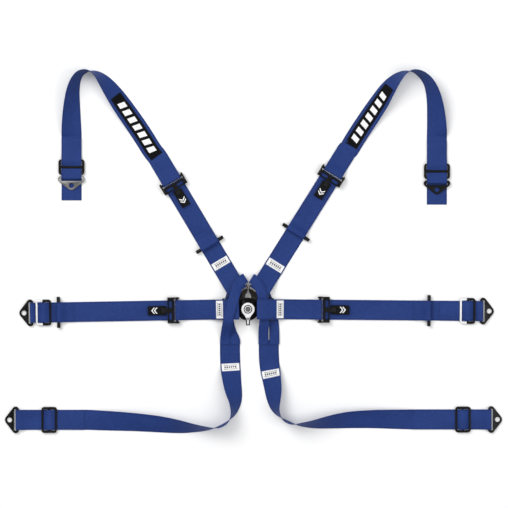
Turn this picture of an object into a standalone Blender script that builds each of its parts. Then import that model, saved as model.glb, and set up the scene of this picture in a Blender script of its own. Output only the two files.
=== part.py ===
"""Six-point racing harness, laid out flat on its back.

Frame: origin at the centre of the rotary buckle's back face, +X to the wearer's right as drawn,
+Y towards the shoulder straps, +Z up from the surface that the harness lies on.
All dimensions below are in millimetres; the meshes are written in metres.
"""
import math

import bmesh
import bpy
import numpy as np
from mathutils import Matrix, Vector

MM = 0.001

# Webbing
WEB_WIDTH = 50.0
WEB_THICK = 1.2
LAYER_STEP = 1.5              # thickness plus the gap to the next layer
LAYER_1 = 0.6                 # centre height of webbing lying on the surface
LAYER_2 = LAYER_1 + LAYER_STEP
LAYER_3 = LAYER_2 + LAYER_STEP
BAND_WIDTH = 25.0             # crotch loops: the same webbing folded lengthwise
BAND_THICK = 2.4
BAND_LAYER = 2.9              # centre height of a band sewn on a strap
BAND_UNDER = 1.4              # centre height of a band lying on the surface
BEND_STEPS = 2                # stations drawn between two listed points of a bend

# Buckle
BUCKLE_R = 28.5
BASE_THICK = 3.0
BOSS_R = 19.4
BOSS_TOP = 10.2
CAVITY_R = 20.2
HOUSING_BOTTOM = 3.3
HOUSING_TOP = 17.0
COVER_TOP = 25.0
COVER_TOP_R = 17.5
TONGUE_BOTTOM = 10.8
TONGUE_THICK = 2.4
PIN_RADIUS_AT = 17.5          # distance of each latch pin from the buckle's axis
PIN_R = 2.2
PIN_TIP = 11.4
LEVER_R = 16.2
LEVER_BOTTOM = 25.4

# Arms: heading in degrees, seen from above
LEFT_SHOULDER_HEADING = 120.8
RIGHT_SHOULDER_HEADING = 58.0
LEFT_SHOULDER_BASE = 353.0    # adjuster base line, from the buckle's axis
RIGHT_SHOULDER_BASE = 381.0
LEFT_SHOULDER_PULL = 187.0    # pull bar, from the buckle's axis
RIGHT_SHOULDER_PULL = 226.0
LEFT_LAP_HEADING = 181.0
RIGHT_LAP_HEADING = -0.5
LEFT_LAP_BASE = 197.0
RIGHT_LAP_BASE = 200.0
LEFT_LAP_PULL = 473.0
RIGHT_LAP_PULL = 452.0
LAP_HEAD_SHIFT = 8.0          # lap tongue heads sit further out, clear of the shoulder ones
LAP_RUN = 700.0               # length of the reversed arms that the lap adjusters are drawn on

# Adjuster, along the arm from its base line
GRIP_BAR_AT = 9.0
GRIP_BAR_R = 3.5
GRIP_BAR_Z = 4.95
PIVOT_AT = 20.0
PIVOT_R = 3.0
PIVOT_Z = 7.6
TURN_LENGTH = 14.0            # webbing in front of the base line that tilts with the frame
PULL_R = 4.5
PULL_LENGTH = 78.0

# End fittings, along the arm from the slide's centre
SLIDE_LENGTH = 39.0
SLIDE_WIDTH = 65.0
SLIDE_BOTTOM = 3.8
SLIDE_THICK = 2.5
TOP_THINNED = (5.5, 20.0)       # heights cut from a centre bar that has webbing over it
SHOULDER_SLIDE_BOTTOM = 2.7
SHOULDER_THINNED = (0.0, 3.5)   # heights cut from a centre bar that has webbing under it
SLOT_END = 14.6               # each slot runs from the centre bar to here
PLATE_THICK = 3.0
BAR_Z = 4.9
FOLD_R = 4.25                 # centre line of the webbing round a bracket's bar
BOLT_R = 6.35
HOLE_AT = 19.8                # bolt hole from the bracket's bar
SHOULDER_REACH = 26.0         # slide's centre to the bracket's bar
SHOULDER_TAIL = 83.0          # webbing's end beyond the slide's centre


def clear_scene():
    for old in list(bpy.data.objects):
        bpy.data.objects.remove(old, do_unlink=True)


def make_material(name, colour, roughness, metallic):
    mat = bpy.data.materials.new(name)
    mat.use_nodes = True
    shader = mat.node_tree.nodes["Principled BSDF"]
    shader.inputs["Base Color"].default_value = (*colour, 1.0)
    shader.inputs["Roughness"].default_value = roughness
    shader.inputs["Metallic"].default_value = metallic
    return mat


# ---------------------------------------------------------------- frames and paths

class Arm:
    """A straight run on the surface: s along it, v across it to the left, z up."""

    def __init__(self, x, y, heading):
        angle = math.radians(heading)
        self.origin = Vector((x, y, 0.0))
        self.along = Vector((math.cos(angle), math.sin(angle), 0.0))
        self.across = Vector((-math.sin(angle), math.cos(angle), 0.0))

    def point(self, s, v, z):
        return self.origin + self.along * s + self.across * v + Vector((0.0, 0.0, z))

    def matrix(self, s=0.0, z=0.0, tilt=0.0):
        """Places a mesh drawn with +X along the arm; tilt lowers its far end."""
        turn = Matrix((self.along, self.across, (0.0, 0.0, 1.0))).transposed().to_4x4()
        lean = Matrix.Rotation(math.radians(tilt), 4, "Y")
        return Matrix.Translation(self.point(s, 0.0, z)) @ turn @ lean


def smooth_path(points, per_span):
    """Centripetal Catmull-Rom curve through points of any dimension."""
    pts = [np.array(p, dtype=float) for p in points]
    pts = [2 * pts[0] - pts[1]] + pts + [2 * pts[-1] - pts[-2]]
    out = []
    for p0, p1, p2, p3 in zip(pts, pts[1:], pts[2:], pts[3:]):
        knots = [0.0]
        for a, b in ((p0, p1), (p1, p2), (p2, p3)):
            knots.append(knots[-1] + max(np.linalg.norm(b - a), 1e-6) ** 0.5)
        k0, k1, k2, k3 = knots
        for step in range(per_span):
            t = k1 + (k2 - k1) * step / per_span
            a1 = p0 * (k1 - t) / (k1 - k0) + p1 * (t - k0) / (k1 - k0)
            a2 = p1 * (k2 - t) / (k2 - k1) + p2 * (t - k1) / (k2 - k1)
            a3 = p2 * (k3 - t) / (k3 - k2) + p3 * (t - k2) / (k3 - k2)
            b1 = a1 * (k2 - t) / (k2 - k0) + a2 * (t - k0) / (k2 - k0)
            b2 = a2 * (k3 - t) / (k3 - k1) + a3 * (t - k1) / (k3 - k1)
            out.append(b1 * (k2 - t) / (k2 - k1) + b2 * (t - k1) / (k2 - k1))
    out.append(pts[-2])
    return out


def half_turn(s, z, radius, start, end, steps=6):
    """Points (s, z) on an arc, angles in degrees from +s."""
    angles = [math.radians(start + (end - start) * i / steps) for i in range(steps + 1)]
    return [(s + radius * math.cos(a), z + radius * math.sin(a)) for a in angles]


def plane_frames(arm, points, side=1.0):
    """Centres and width directions of a strip whose path stays over the arm's line."""
    across = arm.across * side
    return [(arm.point(s, 0.0, z), across) for s, z in points]


def rolled_frames(points):
    """Frames of webbing that leans: points (x, y, roll), positive roll lifts its left edge."""
    path = smooth_path(points, BEND_STEPS)
    frames = []
    for i, (x, y, roll) in enumerate(path):
        ahead = path[min(i + 1, len(path) - 1)]
        behind = path[max(i - 1, 0)]
        heading = Vector((ahead[0] - behind[0], ahead[1] - behind[1], 0.0)).normalized()
        left = Vector((-heading.y, heading.x, 0.0))
        angle = math.radians(roll)
        lift = 0.5 * (WEB_WIDTH * abs(math.sin(angle)) + WEB_THICK * abs(math.cos(angle)))
        side = left * math.cos(angle) + Vector((0.0, 0.0, math.sin(angle)))
        frames.append((Vector((x, y, lift)), side))
    return frames


def band_frames(points):
    """Frames of a band: points (x, y, z, heading in degrees), width kept level."""
    frames = []
    for x, y, z, heading in smooth_path(points, BEND_STEPS):
        angle = math.radians(heading)
        frames.append((Vector((x, y, z)), Vector((-math.sin(angle), math.cos(angle), 0.0))))
    return frames


# ---------------------------------------------------------------- mesh helpers

def add_object(name, bm, mat, matrix=None, smooth=None):
    """Turns a bmesh in millimetres into a named object in metres."""
    bmesh.ops.remove_doubles(bm, verts=bm.verts, dist=1e-4)
    bm.normal_update()
    bmesh.ops.recalc_face_normals(bm, faces=bm.faces)
    bm.transform(Matrix.Scale(MM, 4))
    mesh = bpy.data.meshes.new(name)
    bm.to_mesh(mesh)
    bm.free()
    mesh.materials.append(mat)
    obj = bpy.data.objects.new(name, mesh)
    bpy.context.scene.collection.objects.link(obj)
    if matrix is not None:
        place = matrix.copy()
        place.translation = matrix.translation * MM
        obj.matrix_world = place
    if smooth is not None:
        mesh.shade_smooth()
        mesh.set_sharp_from_angle(angle=math.radians(smooth))
    return obj


def ribbon(name, frames, mat, width=WEB_WIDTH, thickness=WEB_THICK):
    """A closed strip of constant width and thickness along its frames."""
    bm = bmesh.new()
    rings = []
    count = len(frames)
    for i, (centre, side) in enumerate(frames):
        ahead = frames[min(i + 1, count - 1)][0]
        behind = frames[max(i - 1, 0)][0]
        tangent = (ahead - behind).normalized()
        side = (side - tangent * side.dot(tangent)).normalized()
        normal = tangent.cross(side)
        corners = ((-1, -1), (1, -1), (1, 1), (-1, 1))
        ring = [centre + side * (a * width / 2) + normal * (b * thickness / 2) for a, b in corners]
        rings.append([bm.verts.new(co) for co in ring])
    for near, far in zip(rings, rings[1:]):
        for k in range(4):
            m = (k + 1) % 4
            # the two wide faces of a twisted stretch are split along the same diagonal
            if k < 2:
                bm.faces.new((near[k], near[m], far[m]))
                bm.faces.new((near[k], far[m], far[k]))
            else:
                bm.faces.new((near[k], near[m], far[k]))
                bm.faces.new((near[m], far[m], far[k]))
    bm.faces.new(list(reversed(rings[0])))
    bm.faces.new(rings[-1])
    return add_object(name, bm, mat)


def box(bm, low, high):
    centre = [(a + b) / 2 for a, b in zip(low, high)]
    size = [b - a for a, b in zip(low, high)]
    place = Matrix.Translation(centre) @ Matrix.Diagonal((*size, 1.0))
    bmesh.ops.create_cube(bm, size=1.0, matrix=place)
    return bm


def rod(bm, start, end, radius, segments=16):
    """A round bar between two points."""
    a, b = Vector(start), Vector(end)
    turn = (b - a).to_track_quat("Z", "Y").to_matrix().to_4x4()
    place = Matrix.Translation((a + b) / 2) @ turn
    bmesh.ops.create_cone(bm, cap_ends=True, segments=segments, radius1=radius, radius2=radius,
                          depth=(b - a).length, matrix=place)
    return bm


def turned(profile, segments=32, centre=(0.0, 0.0)):
    """A solid or ring of revolution about +Z from (radius, z) points."""
    bm = bmesh.new()
    rings = []
    for radius, z in profile:
        ring = []
        for i in range(segments):
            angle = 2 * math.pi * i / segments
            ring.append(bm.verts.new((centre[0] + radius * math.cos(angle),
                                      centre[1] + radius * math.sin(angle), z)))
        rings.append(ring)
    closed = rings + [rings[0]]
    for near, far in zip(closed, closed[1:]):
        for i in range(segments):
            j = (i + 1) % segments
            bm.faces.new((near[i], near[j], far[j], far[i]))
    return bm


def extruded(outline, low, high):
    """A plate from an outline of (x, y) points."""
    bm = bmesh.new()
    face = bm.faces.new([bm.verts.new((x, y, low)) for x, y in outline])
    grown = bmesh.ops.extrude_face_region(bm, geom=[face])
    lifted = [g for g in grown["geom"] if isinstance(g, bmesh.types.BMVert)]
    bmesh.ops.translate(bm, verts=lifted, vec=(0.0, 0.0, high - low))
    return bm


def circle_points(x, y, radius, steps=16):
    return [(x + radius * math.cos(2 * math.pi * i / steps),
             y + radius * math.sin(2 * math.pi * i / steps)) for i in range(steps)]


def hull_outline(circles, steps=24):
    """Outline of the smallest convex shape round circles (x, y, radius)."""
    points = sorted({(round(px, 4), round(py, 4))
                     for x, y, r in circles for px, py in circle_points(x, y, r, steps)})

    def half(sequence):
        chain = []
        for p in sequence:
            while len(chain) > 1:
                (ax, ay), (bx, by) = chain[-2], chain[-1]
                if (bx - ax) * (p[1] - ay) - (by - ay) * (p[0] - ax) > 1e-4:
                    break
                chain.pop()
            chain.append(p)
        return chain[:-1]

    return half(points) + half(reversed(points))


def shape(bm):
    """A temporary object, in millimetres, for a Boolean."""
    bm.normal_update()
    bmesh.ops.recalc_face_normals(bm, faces=bm.faces)
    mesh = bpy.data.meshes.new("temporary")
    bm.to_mesh(mesh)
    bm.free()
    obj = bpy.data.objects.new("temporary", mesh)
    bpy.context.scene.collection.objects.link(obj)
    return obj


def combine(first, others, operation):
    """Applies Booleans to bmeshes and gives back one bmesh."""
    target = shape(first)
    tools = [shape(other) for other in others]
    for tool in tools:
        mod = target.modifiers.new("boolean", "BOOLEAN")
        mod.operation = operation
        mod.solver = "EXACT"
        mod.object = tool
    depsgraph = bpy.context.evaluated_depsgraph_get()
    target.data = bpy.data.meshes.new_from_object(target.evaluated_get(depsgraph))
    for tool in tools:
        bpy.data.objects.remove(tool, do_unlink=True)
    bm = bmesh.new()
    bm.from_mesh(target.data)
    bpy.data.objects.remove(target, do_unlink=True)
    return bm


# ---------------------------------------------------------------- buckle

def make_buckle(steel, black, silver, arms):
    base = turned([(0.0001, 0.0), (27.0, 0.0), (27.0, BASE_THICK), (BOSS_R, BASE_THICK),
                   (BOSS_R, BOSS_TOP), (0.0001, BOSS_TOP)])
    add_object("buckle_base", base, black, smooth=40)

    housing = turned([(CAVITY_R, HOUSING_BOTTOM), (BUCKLE_R, HOUSING_BOTTOM),
                      (BUCKLE_R, HOUSING_TOP), (CAVITY_R, HOUSING_TOP)])
    slots = []
    for arm in arms:
        slot = box(bmesh.new(), (15.0, -9.6, TONGUE_BOTTOM - 0.4),
                   (40.0, 9.6, TONGUE_BOTTOM + TONGUE_THICK + 0.4))
        slot.transform(Matrix((arm.along, arm.across, (0, 0, 1))).transposed().to_4x4())
        slots.append(slot)
    add_object("buckle_housing", combine(housing, slots, "DIFFERENCE"), black, smooth=40)

    cover_bottom = HOUSING_TOP + 0.3
    cover = turned([(CAVITY_R, cover_bottom), (BUCKLE_R, cover_bottom), (BUCKLE_R, 18.5),
                    (27.0, 20.0), (COVER_TOP_R, COVER_TOP), (6.4, COVER_TOP), (6.4, 23.2),
                    (CAVITY_R, 23.2)])
    add_object("buckle_cover", cover, black, smooth=30)

    spindle = turned([(0.0001, BOSS_TOP + 0.3), (2.4, BOSS_TOP + 0.3), (2.4, 28.7),
                      (5.0, 28.7), (5.0, 30.4), (0.0001, 30.4)], segments=20)
    add_object("spindle_bolt", spindle, steel, smooth=40)

    cam = turned([(2.8, 13.6), (5.8, 13.6), (5.8, 25.1), (2.8, 25.1)], segments=20)
    add_object("cam_sleeve", cam, steel, smooth=40)

    make_return_spring(steel)
    make_latch(steel, arms)
    make_lever(silver)


def make_return_spring(steel):
    turns, wire, radius, foot, rise, steps = 2.0, 0.4, 6.6, 10.9, 2.3, 32
    curve = bpy.data.curves.new("return_spring", "CURVE")
    curve.dimensions = "3D"
    curve.bevel_depth = wire * MM
    curve.bevel_resolution = 1
    curve.use_fill_caps = True
    spline = curve.splines.new("POLY")
    spline.points.add(steps)
    for i in range(steps + 1):
        angle = 2 * math.pi * turns * i / steps
        z = foot + rise * i / steps
        x, y = radius * math.cos(angle), radius * math.sin(angle)
        spline.points[i].co = (x * MM, y * MM, z * MM, 1)
    obj = bpy.data.objects.new("return_spring", curve)
    curve.materials.append(steel)
    bpy.context.scene.collection.objects.link(obj)


def make_latch(steel, arms):
    """The lifter plate, with the four pins that drop into the tongues' windows."""
    plate = turned([(6.2, 13.9), (19.6, 13.9), (19.6, 15.1), (6.2, 15.1)], 24)
    pins = []
    for arm in arms:
        place = arm.along * PIN_RADIUS_AT
        pins.append(turned([(0.0001, PIN_TIP), (1.6, PIN_TIP), (PIN_R, PIN_TIP + 0.8),
                            (PIN_R, 16.2), (0.0001, 16.2)], 10, (place.x, place.y)))
    add_object("latch_plate", combine(plate, pins, "UNION"), steel, smooth=40)


def make_lever(silver):
    """Teardrop release lever: a disc over the cover and a finger tab raised clear of the straps."""
    disc = [(LEVER_R * math.cos(a), LEVER_R * math.sin(a))
            for a in (math.radians(-40 + 260 * i / 26) for i in range(27))]
    left_flank = [(-8.4, -15.8), (-6.0, -19.0), (-5.0, -22.0)]
    right_flank = [(-x, y) for x, y in reversed(left_flank)]
    blade = extruded(disc + left_flank + right_flank, LEVER_BOTTOM, LEVER_BOTTOM + 3.0)
    # side view of the tab, as (y, z)
    riser = [(-17.0, 25.7), (-17.0, 28.1), (-20.5, 28.4), (-24.5, 34.2), (-38.6, 34.2),
             (-40.0, 33.2), (-40.0, 31.6), (-26.2, 31.6), (-22.6, 25.7)]
    tab = extruded(riser, -4.9, 4.9)
    tab.transform(Matrix(((0, 0, 1), (1, 0, 0), (0, 1, 0))).to_4x4())
    bore = turned([(0.0001, 20.0), (2.8, 20.0), (2.8, 40.0), (0.0001, 40.0)], segments=20)
    lever = combine(blade, [tab], "UNION")
    add_object("release_lever", combine(lever, [bore], "DIFFERENCE"), silver, smooth=35)


def make_tongue(name, arm, steel, shift=0.0):
    """T-headed plate: the head carries the webbing, the blade enters the buckle.

    The window is longer than its pin, so the tongue can start out while the pin lifts.
    """
    head = [(30.0, 9.0), (34.0, 14.0), (38.0, 21.0), (43.0, 25.0), (46.5, 27.2), (49.5, 28.2),
            (54.0, 28.2), (57.0, 25.8)]
    side = [(9.0, 4.0), (20.0, 9.0)] + [(s + shift, v) for s, v in head]
    outline = side + [(s, -v) for s, v in reversed(side)]
    plate = extruded(outline, TONGUE_BOTTOM, TONGUE_BOTTOM + TONGUE_THICK)
    slot = box(bmesh.new(), (46.2 + shift, -25.5, 0.0), (52.0 + shift, 25.5, 30.0))
    window = extruded(hull_outline([(PIN_RADIUS_AT - 2.8, 0.0, 2.6), (PIN_RADIUS_AT, 0.0, 2.6)], 16),
                      0.0, 30.0)
    add_object(name, combine(plate, [slot, window], "DIFFERENCE"), steel,
               arm.matrix(), smooth=35)


# ---------------------------------------------------------------- adjusters

def make_adjuster(side, arm, base, steel, black):
    """Tilt-lock adjuster: a channel frame that turns on its rear bar when the tab is lifted."""
    place = arm.matrix(base + PIVOT_AT, PIVOT_Z)

    def local(s, z):
        return s - PIVOT_AT, z - PIVOT_Z

    low_s, low_z = local(-4.0, 10.2)
    high_s, high_z = local(12.0, 12.6)
    frame = box(bmesh.new(), (low_s, -30.0, low_z), (high_s, 30.0, high_z))
    parts = []
    for v in (-1, 1):
        wall = [local(-4.0, 13.6), local(23.0, 13.6), local(26.0, 10.5), local(25.0, 4.8),
                local(8.0, 2.6), local(0.0, 2.6), local(-4.0, 5.5)]
        bm = extruded(wall, 0.0, 4.0)
        bm.transform(Matrix.Rotation(math.radians(90), 4, "X"))
        offset = 32.5 if v > 0 else -28.5
        bm.transform(Matrix.Translation((0.0, offset, 0.0)))
        parts.append(bm)
    neck_s, _ = local(-19.0, 0.0)
    parts.append(box(bmesh.new(), (neck_s, -6.0, low_z), (low_s + 2.0, 6.0, high_z)))
    parts.append(rod(bmesh.new(), (0.0, -29.5, 0.0), (0.0, 29.5, 0.0), PIVOT_R))
    frame = combine(frame, parts, "UNION")
    cuts = []
    for v in (-1, 1):
        near_s, _ = local(-0.8, 0.0)
        far_s, _ = local(6.5, 0.0)
        low_v, high_v = sorted((v * 6.0, v * 24.0))
        cuts.append(box(bmesh.new(), (near_s, low_v, -8.0), (far_s, high_v, 8.0)))
    add_object(f"{side}_adjuster_frame", combine(frame, cuts, "DIFFERENCE"), black, place, smooth=35)

    grip_s, grip_z = local(GRIP_BAR_AT, GRIP_BAR_Z)
    bar = rod(bmesh.new(), (grip_s, -28.2, grip_z), (grip_s, 28.2, grip_z), GRIP_BAR_R)
    add_object(f"{side}_grip_bar", bar, steel, place, smooth=40)

    tab_outline = hull_outline([(local(-51.0, 0)[0], -9.5, 2.0), (local(-51.0, 0)[0], 9.5, 2.0),
                                (local(-10.0, 0)[0], -9.5, 2.0), (local(-10.0, 0)[0], 9.5, 2.0)], 12)
    tab = extruded(tab_outline, local(0, 6.6)[1], local(0, 9.6)[1])
    add_object(f"{side}_release_tab", tab, black, place)


def turn_path(base):
    """Webbing round the grip bar: in along the surface, round, and back out on top."""
    bar_s = base + GRIP_BAR_AT
    radius = GRIP_BAR_R + 0.15 + WEB_THICK / 2
    near = base - TURN_LENGTH
    arc = half_turn(bar_s, GRIP_BAR_Z, radius, -90, 90, 8)
    return ([(near, LAYER_1), (base - 5.0, LAYER_1), (base + 3.0, LAYER_1)] + arc +
            [(base + 3.0, 8.2), (base - 4.0, 4.9), (base - 9.0, 2.8), (near, LAYER_2)])


def pivot_loop(base, tail):
    """Sewn end round the frame's rear bar, from its short tail to the main layer."""
    bar_s = base + PIVOT_AT
    radius = PIVOT_R + 0.25 + WEB_THICK / 2
    arc = half_turn(bar_s, PIVOT_Z, radius, 270, 90, 8)
    return ([(base + tail, LAYER_1), (base + 46.0, LAYER_1), (base + 36.0, 1.3),
             (base + 28.0, 3.2)] + arc +
            [(base + 29.0, 9.6), (base + 38.0, 5.4), (base + 47.0, 2.6), (base + 54.0, LAYER_2)])


def pull_fold(at, end_of_layer):
    """The top layer's free end, folded round the pull bar and sewn down on itself."""
    bar_z = LAYER_2 + WEB_THICK / 2 + 0.3 + PULL_R
    radius = PULL_R + 0.3 + WEB_THICK / 2
    arc = half_turn(at, bar_z, radius, 270, 90, 8)
    return [(end_of_layer, LAYER_2), (at + 20.0, LAYER_2), (at + 6.0, LAYER_2)] + arc + [
        (at + 5.5, bar_z + 4.6), (at + 12.0, LAYER_3 + 4.2), (at + 20.0, LAYER_3 + 0.3),
        (at + 38.0, LAYER_3)]


def make_pull_bar(side, arm, at, black):
    bar_z = LAYER_2 + WEB_THICK / 2 + 0.3 + PULL_R
    half = PULL_LENGTH / 2
    bar = bmesh.new()
    rod(bar, (0.0, -half, 0.0), (0.0, half, 0.0), PULL_R)
    add_object(f"{side}_pull_bar", bar, black, arm.matrix(at, bar_z), smooth=40)


# ---------------------------------------------------------------- end fittings

def make_slide(side, arm, at, base_z, metal, bottom=SLIDE_BOTTOM, thinned=TOP_THINNED):
    """Three-bar slide whose centre bar is thinned over the heights where webbing passes it."""
    half_l, half_w = SLIDE_LENGTH / 2, SLIDE_WIDTH / 2
    corner = 7.0
    corners = [(a * (half_l - corner), b * (half_w - corner), corner) for a in (-1, 1) for b in (-1, 1)]
    plate = extruded(hull_outline(corners, 16), bottom, bottom + SLIDE_THICK)
    cuts = [box(bmesh.new(), (-SLOT_END, -26.2, 0.0), (-3.0, 26.2, 20.0)),
            box(bmesh.new(), (3.0, -26.2, 0.0), (SLOT_END, 26.2, 20.0)),
            box(bmesh.new(), (-4.0, -26.2, thinned[0]), (4.0, 26.2, thinned[1]))]
    add_object(f"{side}_slide", combine(plate, cuts, "DIFFERENCE"), metal,
               arm.matrix(at, base_z), smooth=35)


def make_bracket(side, arm, at, base_z, tilt, metal):
    """Bolt-in end bracket, drawn about the bar that hangs in the webbing's fold."""
    circles = [(4.2, -25.5, 8.0), (4.2, 25.5, 8.0), (HOLE_AT, 0.0, 11.7),
               (1.5, -18.0, 4.5), (1.5, 18.0, 4.5)]
    half = PLATE_THICK / 2
    plate = extruded(hull_outline(circles), -half, half)
    slot = box(bmesh.new(), (3.0, -26.5, -5.0), (8.5, 26.5, 5.0))
    hole = rod(bmesh.new(), (HOLE_AT, 0.0, -5.0), (HOLE_AT, 0.0, 5.0), BOLT_R, 24)
    add_object(f"{side}_bracket", combine(plate, [slot, hole], "DIFFERENCE"), metal,
               arm.matrix(at, BAR_Z + base_z, tilt), smooth=35)


def weave(sign, lift):
    """One layer through the slide: under, over the centre bar, and under again."""
    low = 1.0 + lift
    mid = 3.8 + lift
    top = 6.5 + lift
    points = [(-20.0, low - 0.3), (-14.4, low), (-9.0, mid), (-3.4, top), (3.4, top), (9.0, mid),
              (14.4, low), (19.0, low)]
    return points if sign > 0 else list(reversed(points))


def fitting_path(at, reach, base_z, lower_from, upper_to):
    """Out through the slide, round the bracket's bar and back, as (s, z) along the arm."""
    out = [(s, z) for s, z in weave(1, 0.0)]
    back = [(s, z) for s, z in weave(-1, 1.6)]
    fold = half_turn(reach, BAR_Z, FOLD_R, -90, 90, 8)
    approach = [(reach - 7.0, 0.7)] if reach > 30 else []
    leave = [(reach - 7.0, 7.6), (reach - 13.0, 3.4)] if reach > 32 else [(reach - 4.0, 7.6)]
    if reach > 60:
        approach = [(30.0, LAYER_1), (reach - 15.0, LAYER_1)]
        leave = [(reach - 8.0, 7.9), (reach - 18.0, 3.4), (reach - 28.0, LAYER_2), (28.0, LAYER_2)]
    local = ([(lower_from, LAYER_1)] + out + approach + fold + leave + back + [(upper_to, LAYER_2)])
    return [(at + s, z + base_z) for s, z in local]


def shoulder_fitting_path(at, base_z):
    """Flat under the slide, round the bracket's bar, then over both outer bars to the belt."""
    fold = half_turn(SHOULDER_REACH, BAR_Z, FOLD_R, -90, 90, 8)
    back = [(SHOULDER_REACH - 4.0, 7.9), (18.8, 6.3), (14.4, 6.2), (9.0, 4.4), (3.4, 2.5), (-3.4, 2.5),
            (-9.0, 4.4), (-14.4, 6.2), (-18.8, 6.3), (-22.5, 5.6), (-36.0, LAYER_2), (-70.0, LAYER_2)]
    local = [(-24.0, LAYER_1), (19.0, 0.7)] + fold + back
    return [(at + s, z + base_z) for s, z in local]


# ---------------------------------------------------------------- belts

def shoulder_tongue_fold(tail):
    """Sewn end through a shoulder tongue: short tail below, main layer above."""
    return [(tail, LAYER_1), (102.0, LAYER_1), (90.0, 3.6), (75.0, 7.4), (63.0, 9.2), (54.0, 9.4),
            (51.0, 10.2), (50.4, 12.0), (51.0, 13.8), (54.0, 14.6), (63.0, 14.3), (75.0, 10.8),
            (90.0, 6.0), (104.0, LAYER_2)]


def lap_tongue_fold(tail):
    """The lap end's fold is loose: it rides up over the buckle's rim before it turns back."""
    return [(tail, LAYER_1), (102.0, LAYER_1), (89.0, 3.8), (76.0, 7.0), (66.0, 9.0), (61.0, 9.1),
            (58.6, 10.6), (57.4, 14.6), (53.0, 19.6), (45.0, 23.2), (36.0, 25.4), (28.0, 26.8),
            (23.6, 27.6), (22.6, 28.9), (24.0, 30.2), (30.0, 29.8), (40.0, 27.4), (52.0, 22.4),
            (66.0, 15.8), (80.0, 9.2), (94.0, 3.6), (106.0, LAYER_2)]


def make_shoulder(side, arm, base, pull_at, rolled, tail_arm, slide_at, mats):
    """Tongue to adjuster, then the upper webbing over the top to the slide and the bracket."""
    make_tongue(f"{side}_tongue", arm, mats["steel"])
    end = base - TURN_LENGTH - 0.3
    lower = shoulder_tongue_fold(124.0) + [(124.0, LAYER_2), (138.0, LAYER_1), (170.0, LAYER_1),
                                           (end, LAYER_1)]
    ribbon(f"{side}_lower_webbing", plane_frames(arm, lower), mats["blue"])
    ribbon(f"{side}_free_end", plane_frames(arm, pull_fold(pull_at, end)), mats["blue"])
    make_pull_bar(side, arm, pull_at, mats["black"])
    make_adjuster(side, arm, base, mats["steel"], mats["black"])
    ribbon(f"{side}_grip_turn", plane_frames(arm, turn_path(base)), mats["blue"])

    tail = 75.0
    loop = pivot_loop(base, tail) + [(base + tail, LAYER_2), (base + tail + 12.0, LAYER_1)]
    frames = plane_frames(arm, loop) + rolled_frames(rolled)
    # three layers lie at the bracket: in, back through the slide, and the tail turned down again
    lift = LAYER_STEP
    down = reversed(shoulder_fitting_path(slide_at, lift))
    turned_down = half_turn(slide_at - 25.0, (LAYER_1 + LAYER_2) / 2, LAYER_STEP / 2, 90, 270)
    turned_down += [(slide_at + 20.0, LAYER_1), (slide_at + SHOULDER_TAIL, LAYER_1)]
    frames += plane_frames(tail_arm, list(down) + turned_down, side=-1.0)
    ribbon(f"{side}_upper_webbing", frames, mats["blue"])
    make_slide(side, tail_arm, slide_at, lift, mats["black"], SHOULDER_SLIDE_BOTTOM,
               SHOULDER_THINNED)
    make_bracket(side, tail_arm, slide_at + SHOULDER_REACH, lift, 5.6, mats["silver"])


def make_lap(side, arm, base, pull_at, slide_at, reach, tail, mats):
    """The adjuster is reversed here: its sewn side faces the buckle and its tab points out."""
    make_tongue(f"{side}_tongue", arm, mats["steel"], LAP_HEAD_SHIFT)
    back = Arm(0.0, 0.0, 0.0)
    back.origin = arm.point(LAP_RUN, 0.0, 0.0)
    back.along, back.across = -arm.along, -arm.across
    base_back = LAP_RUN - base
    end_back = base_back - TURN_LENGTH - 0.3

    loop = [(LAP_RUN - s, z) for s, z in reversed(pivot_loop(base_back, 46.5))]
    inner = lap_tongue_fold(114.0) + [(LAP_RUN - base_back - 62.0, LAYER_2)] + loop
    ribbon(f"{side}_inner_webbing", plane_frames(arm, inner), mats["blue"])
    make_adjuster(side, back, base_back, mats["steel"], mats["black"])
    ribbon(f"{side}_grip_turn", plane_frames(back, turn_path(base_back)), mats["blue"])
    free_end = pull_fold(LAP_RUN - pull_at, end_back)
    ribbon(f"{side}_free_end", plane_frames(back, free_end), mats["blue"])
    make_pull_bar(side, back, LAP_RUN - pull_at, mats["black"])

    outer = [(LAP_RUN - end_back, LAYER_1)]
    outer += fitting_path(slide_at, reach, 0.0, -36.0, tail)
    ribbon(f"{side}_outer_webbing", plane_frames(arm, outer), mats["blue"])
    make_slide(side, arm, slide_at, 0.0, mats["silver"])
    make_bracket(side, arm, slide_at + reach, 0.0, 6.2, mats["black"])


def make_leg(side, rolled, arm, slide_at, reach, tail, band, mats):
    """Crotch strap: loop of folded webbing at the top, long bend, slide and bracket."""
    frames = rolled_frames(rolled)
    frames += plane_frames(arm, fitting_path(slide_at, reach, 0.0, -60.0, tail))
    ribbon(f"{side}_webbing", frames, mats["blue"])
    ribbon(f"{side}_loop", band_frames(band), mats["blue"], BAND_WIDTH, BAND_THICK)
    make_slide(side, arm, slide_at, 0.0, mats["black"])
    make_bracket(side, arm, slide_at + reach, 0.0, 6.2, mats["black"])


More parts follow.
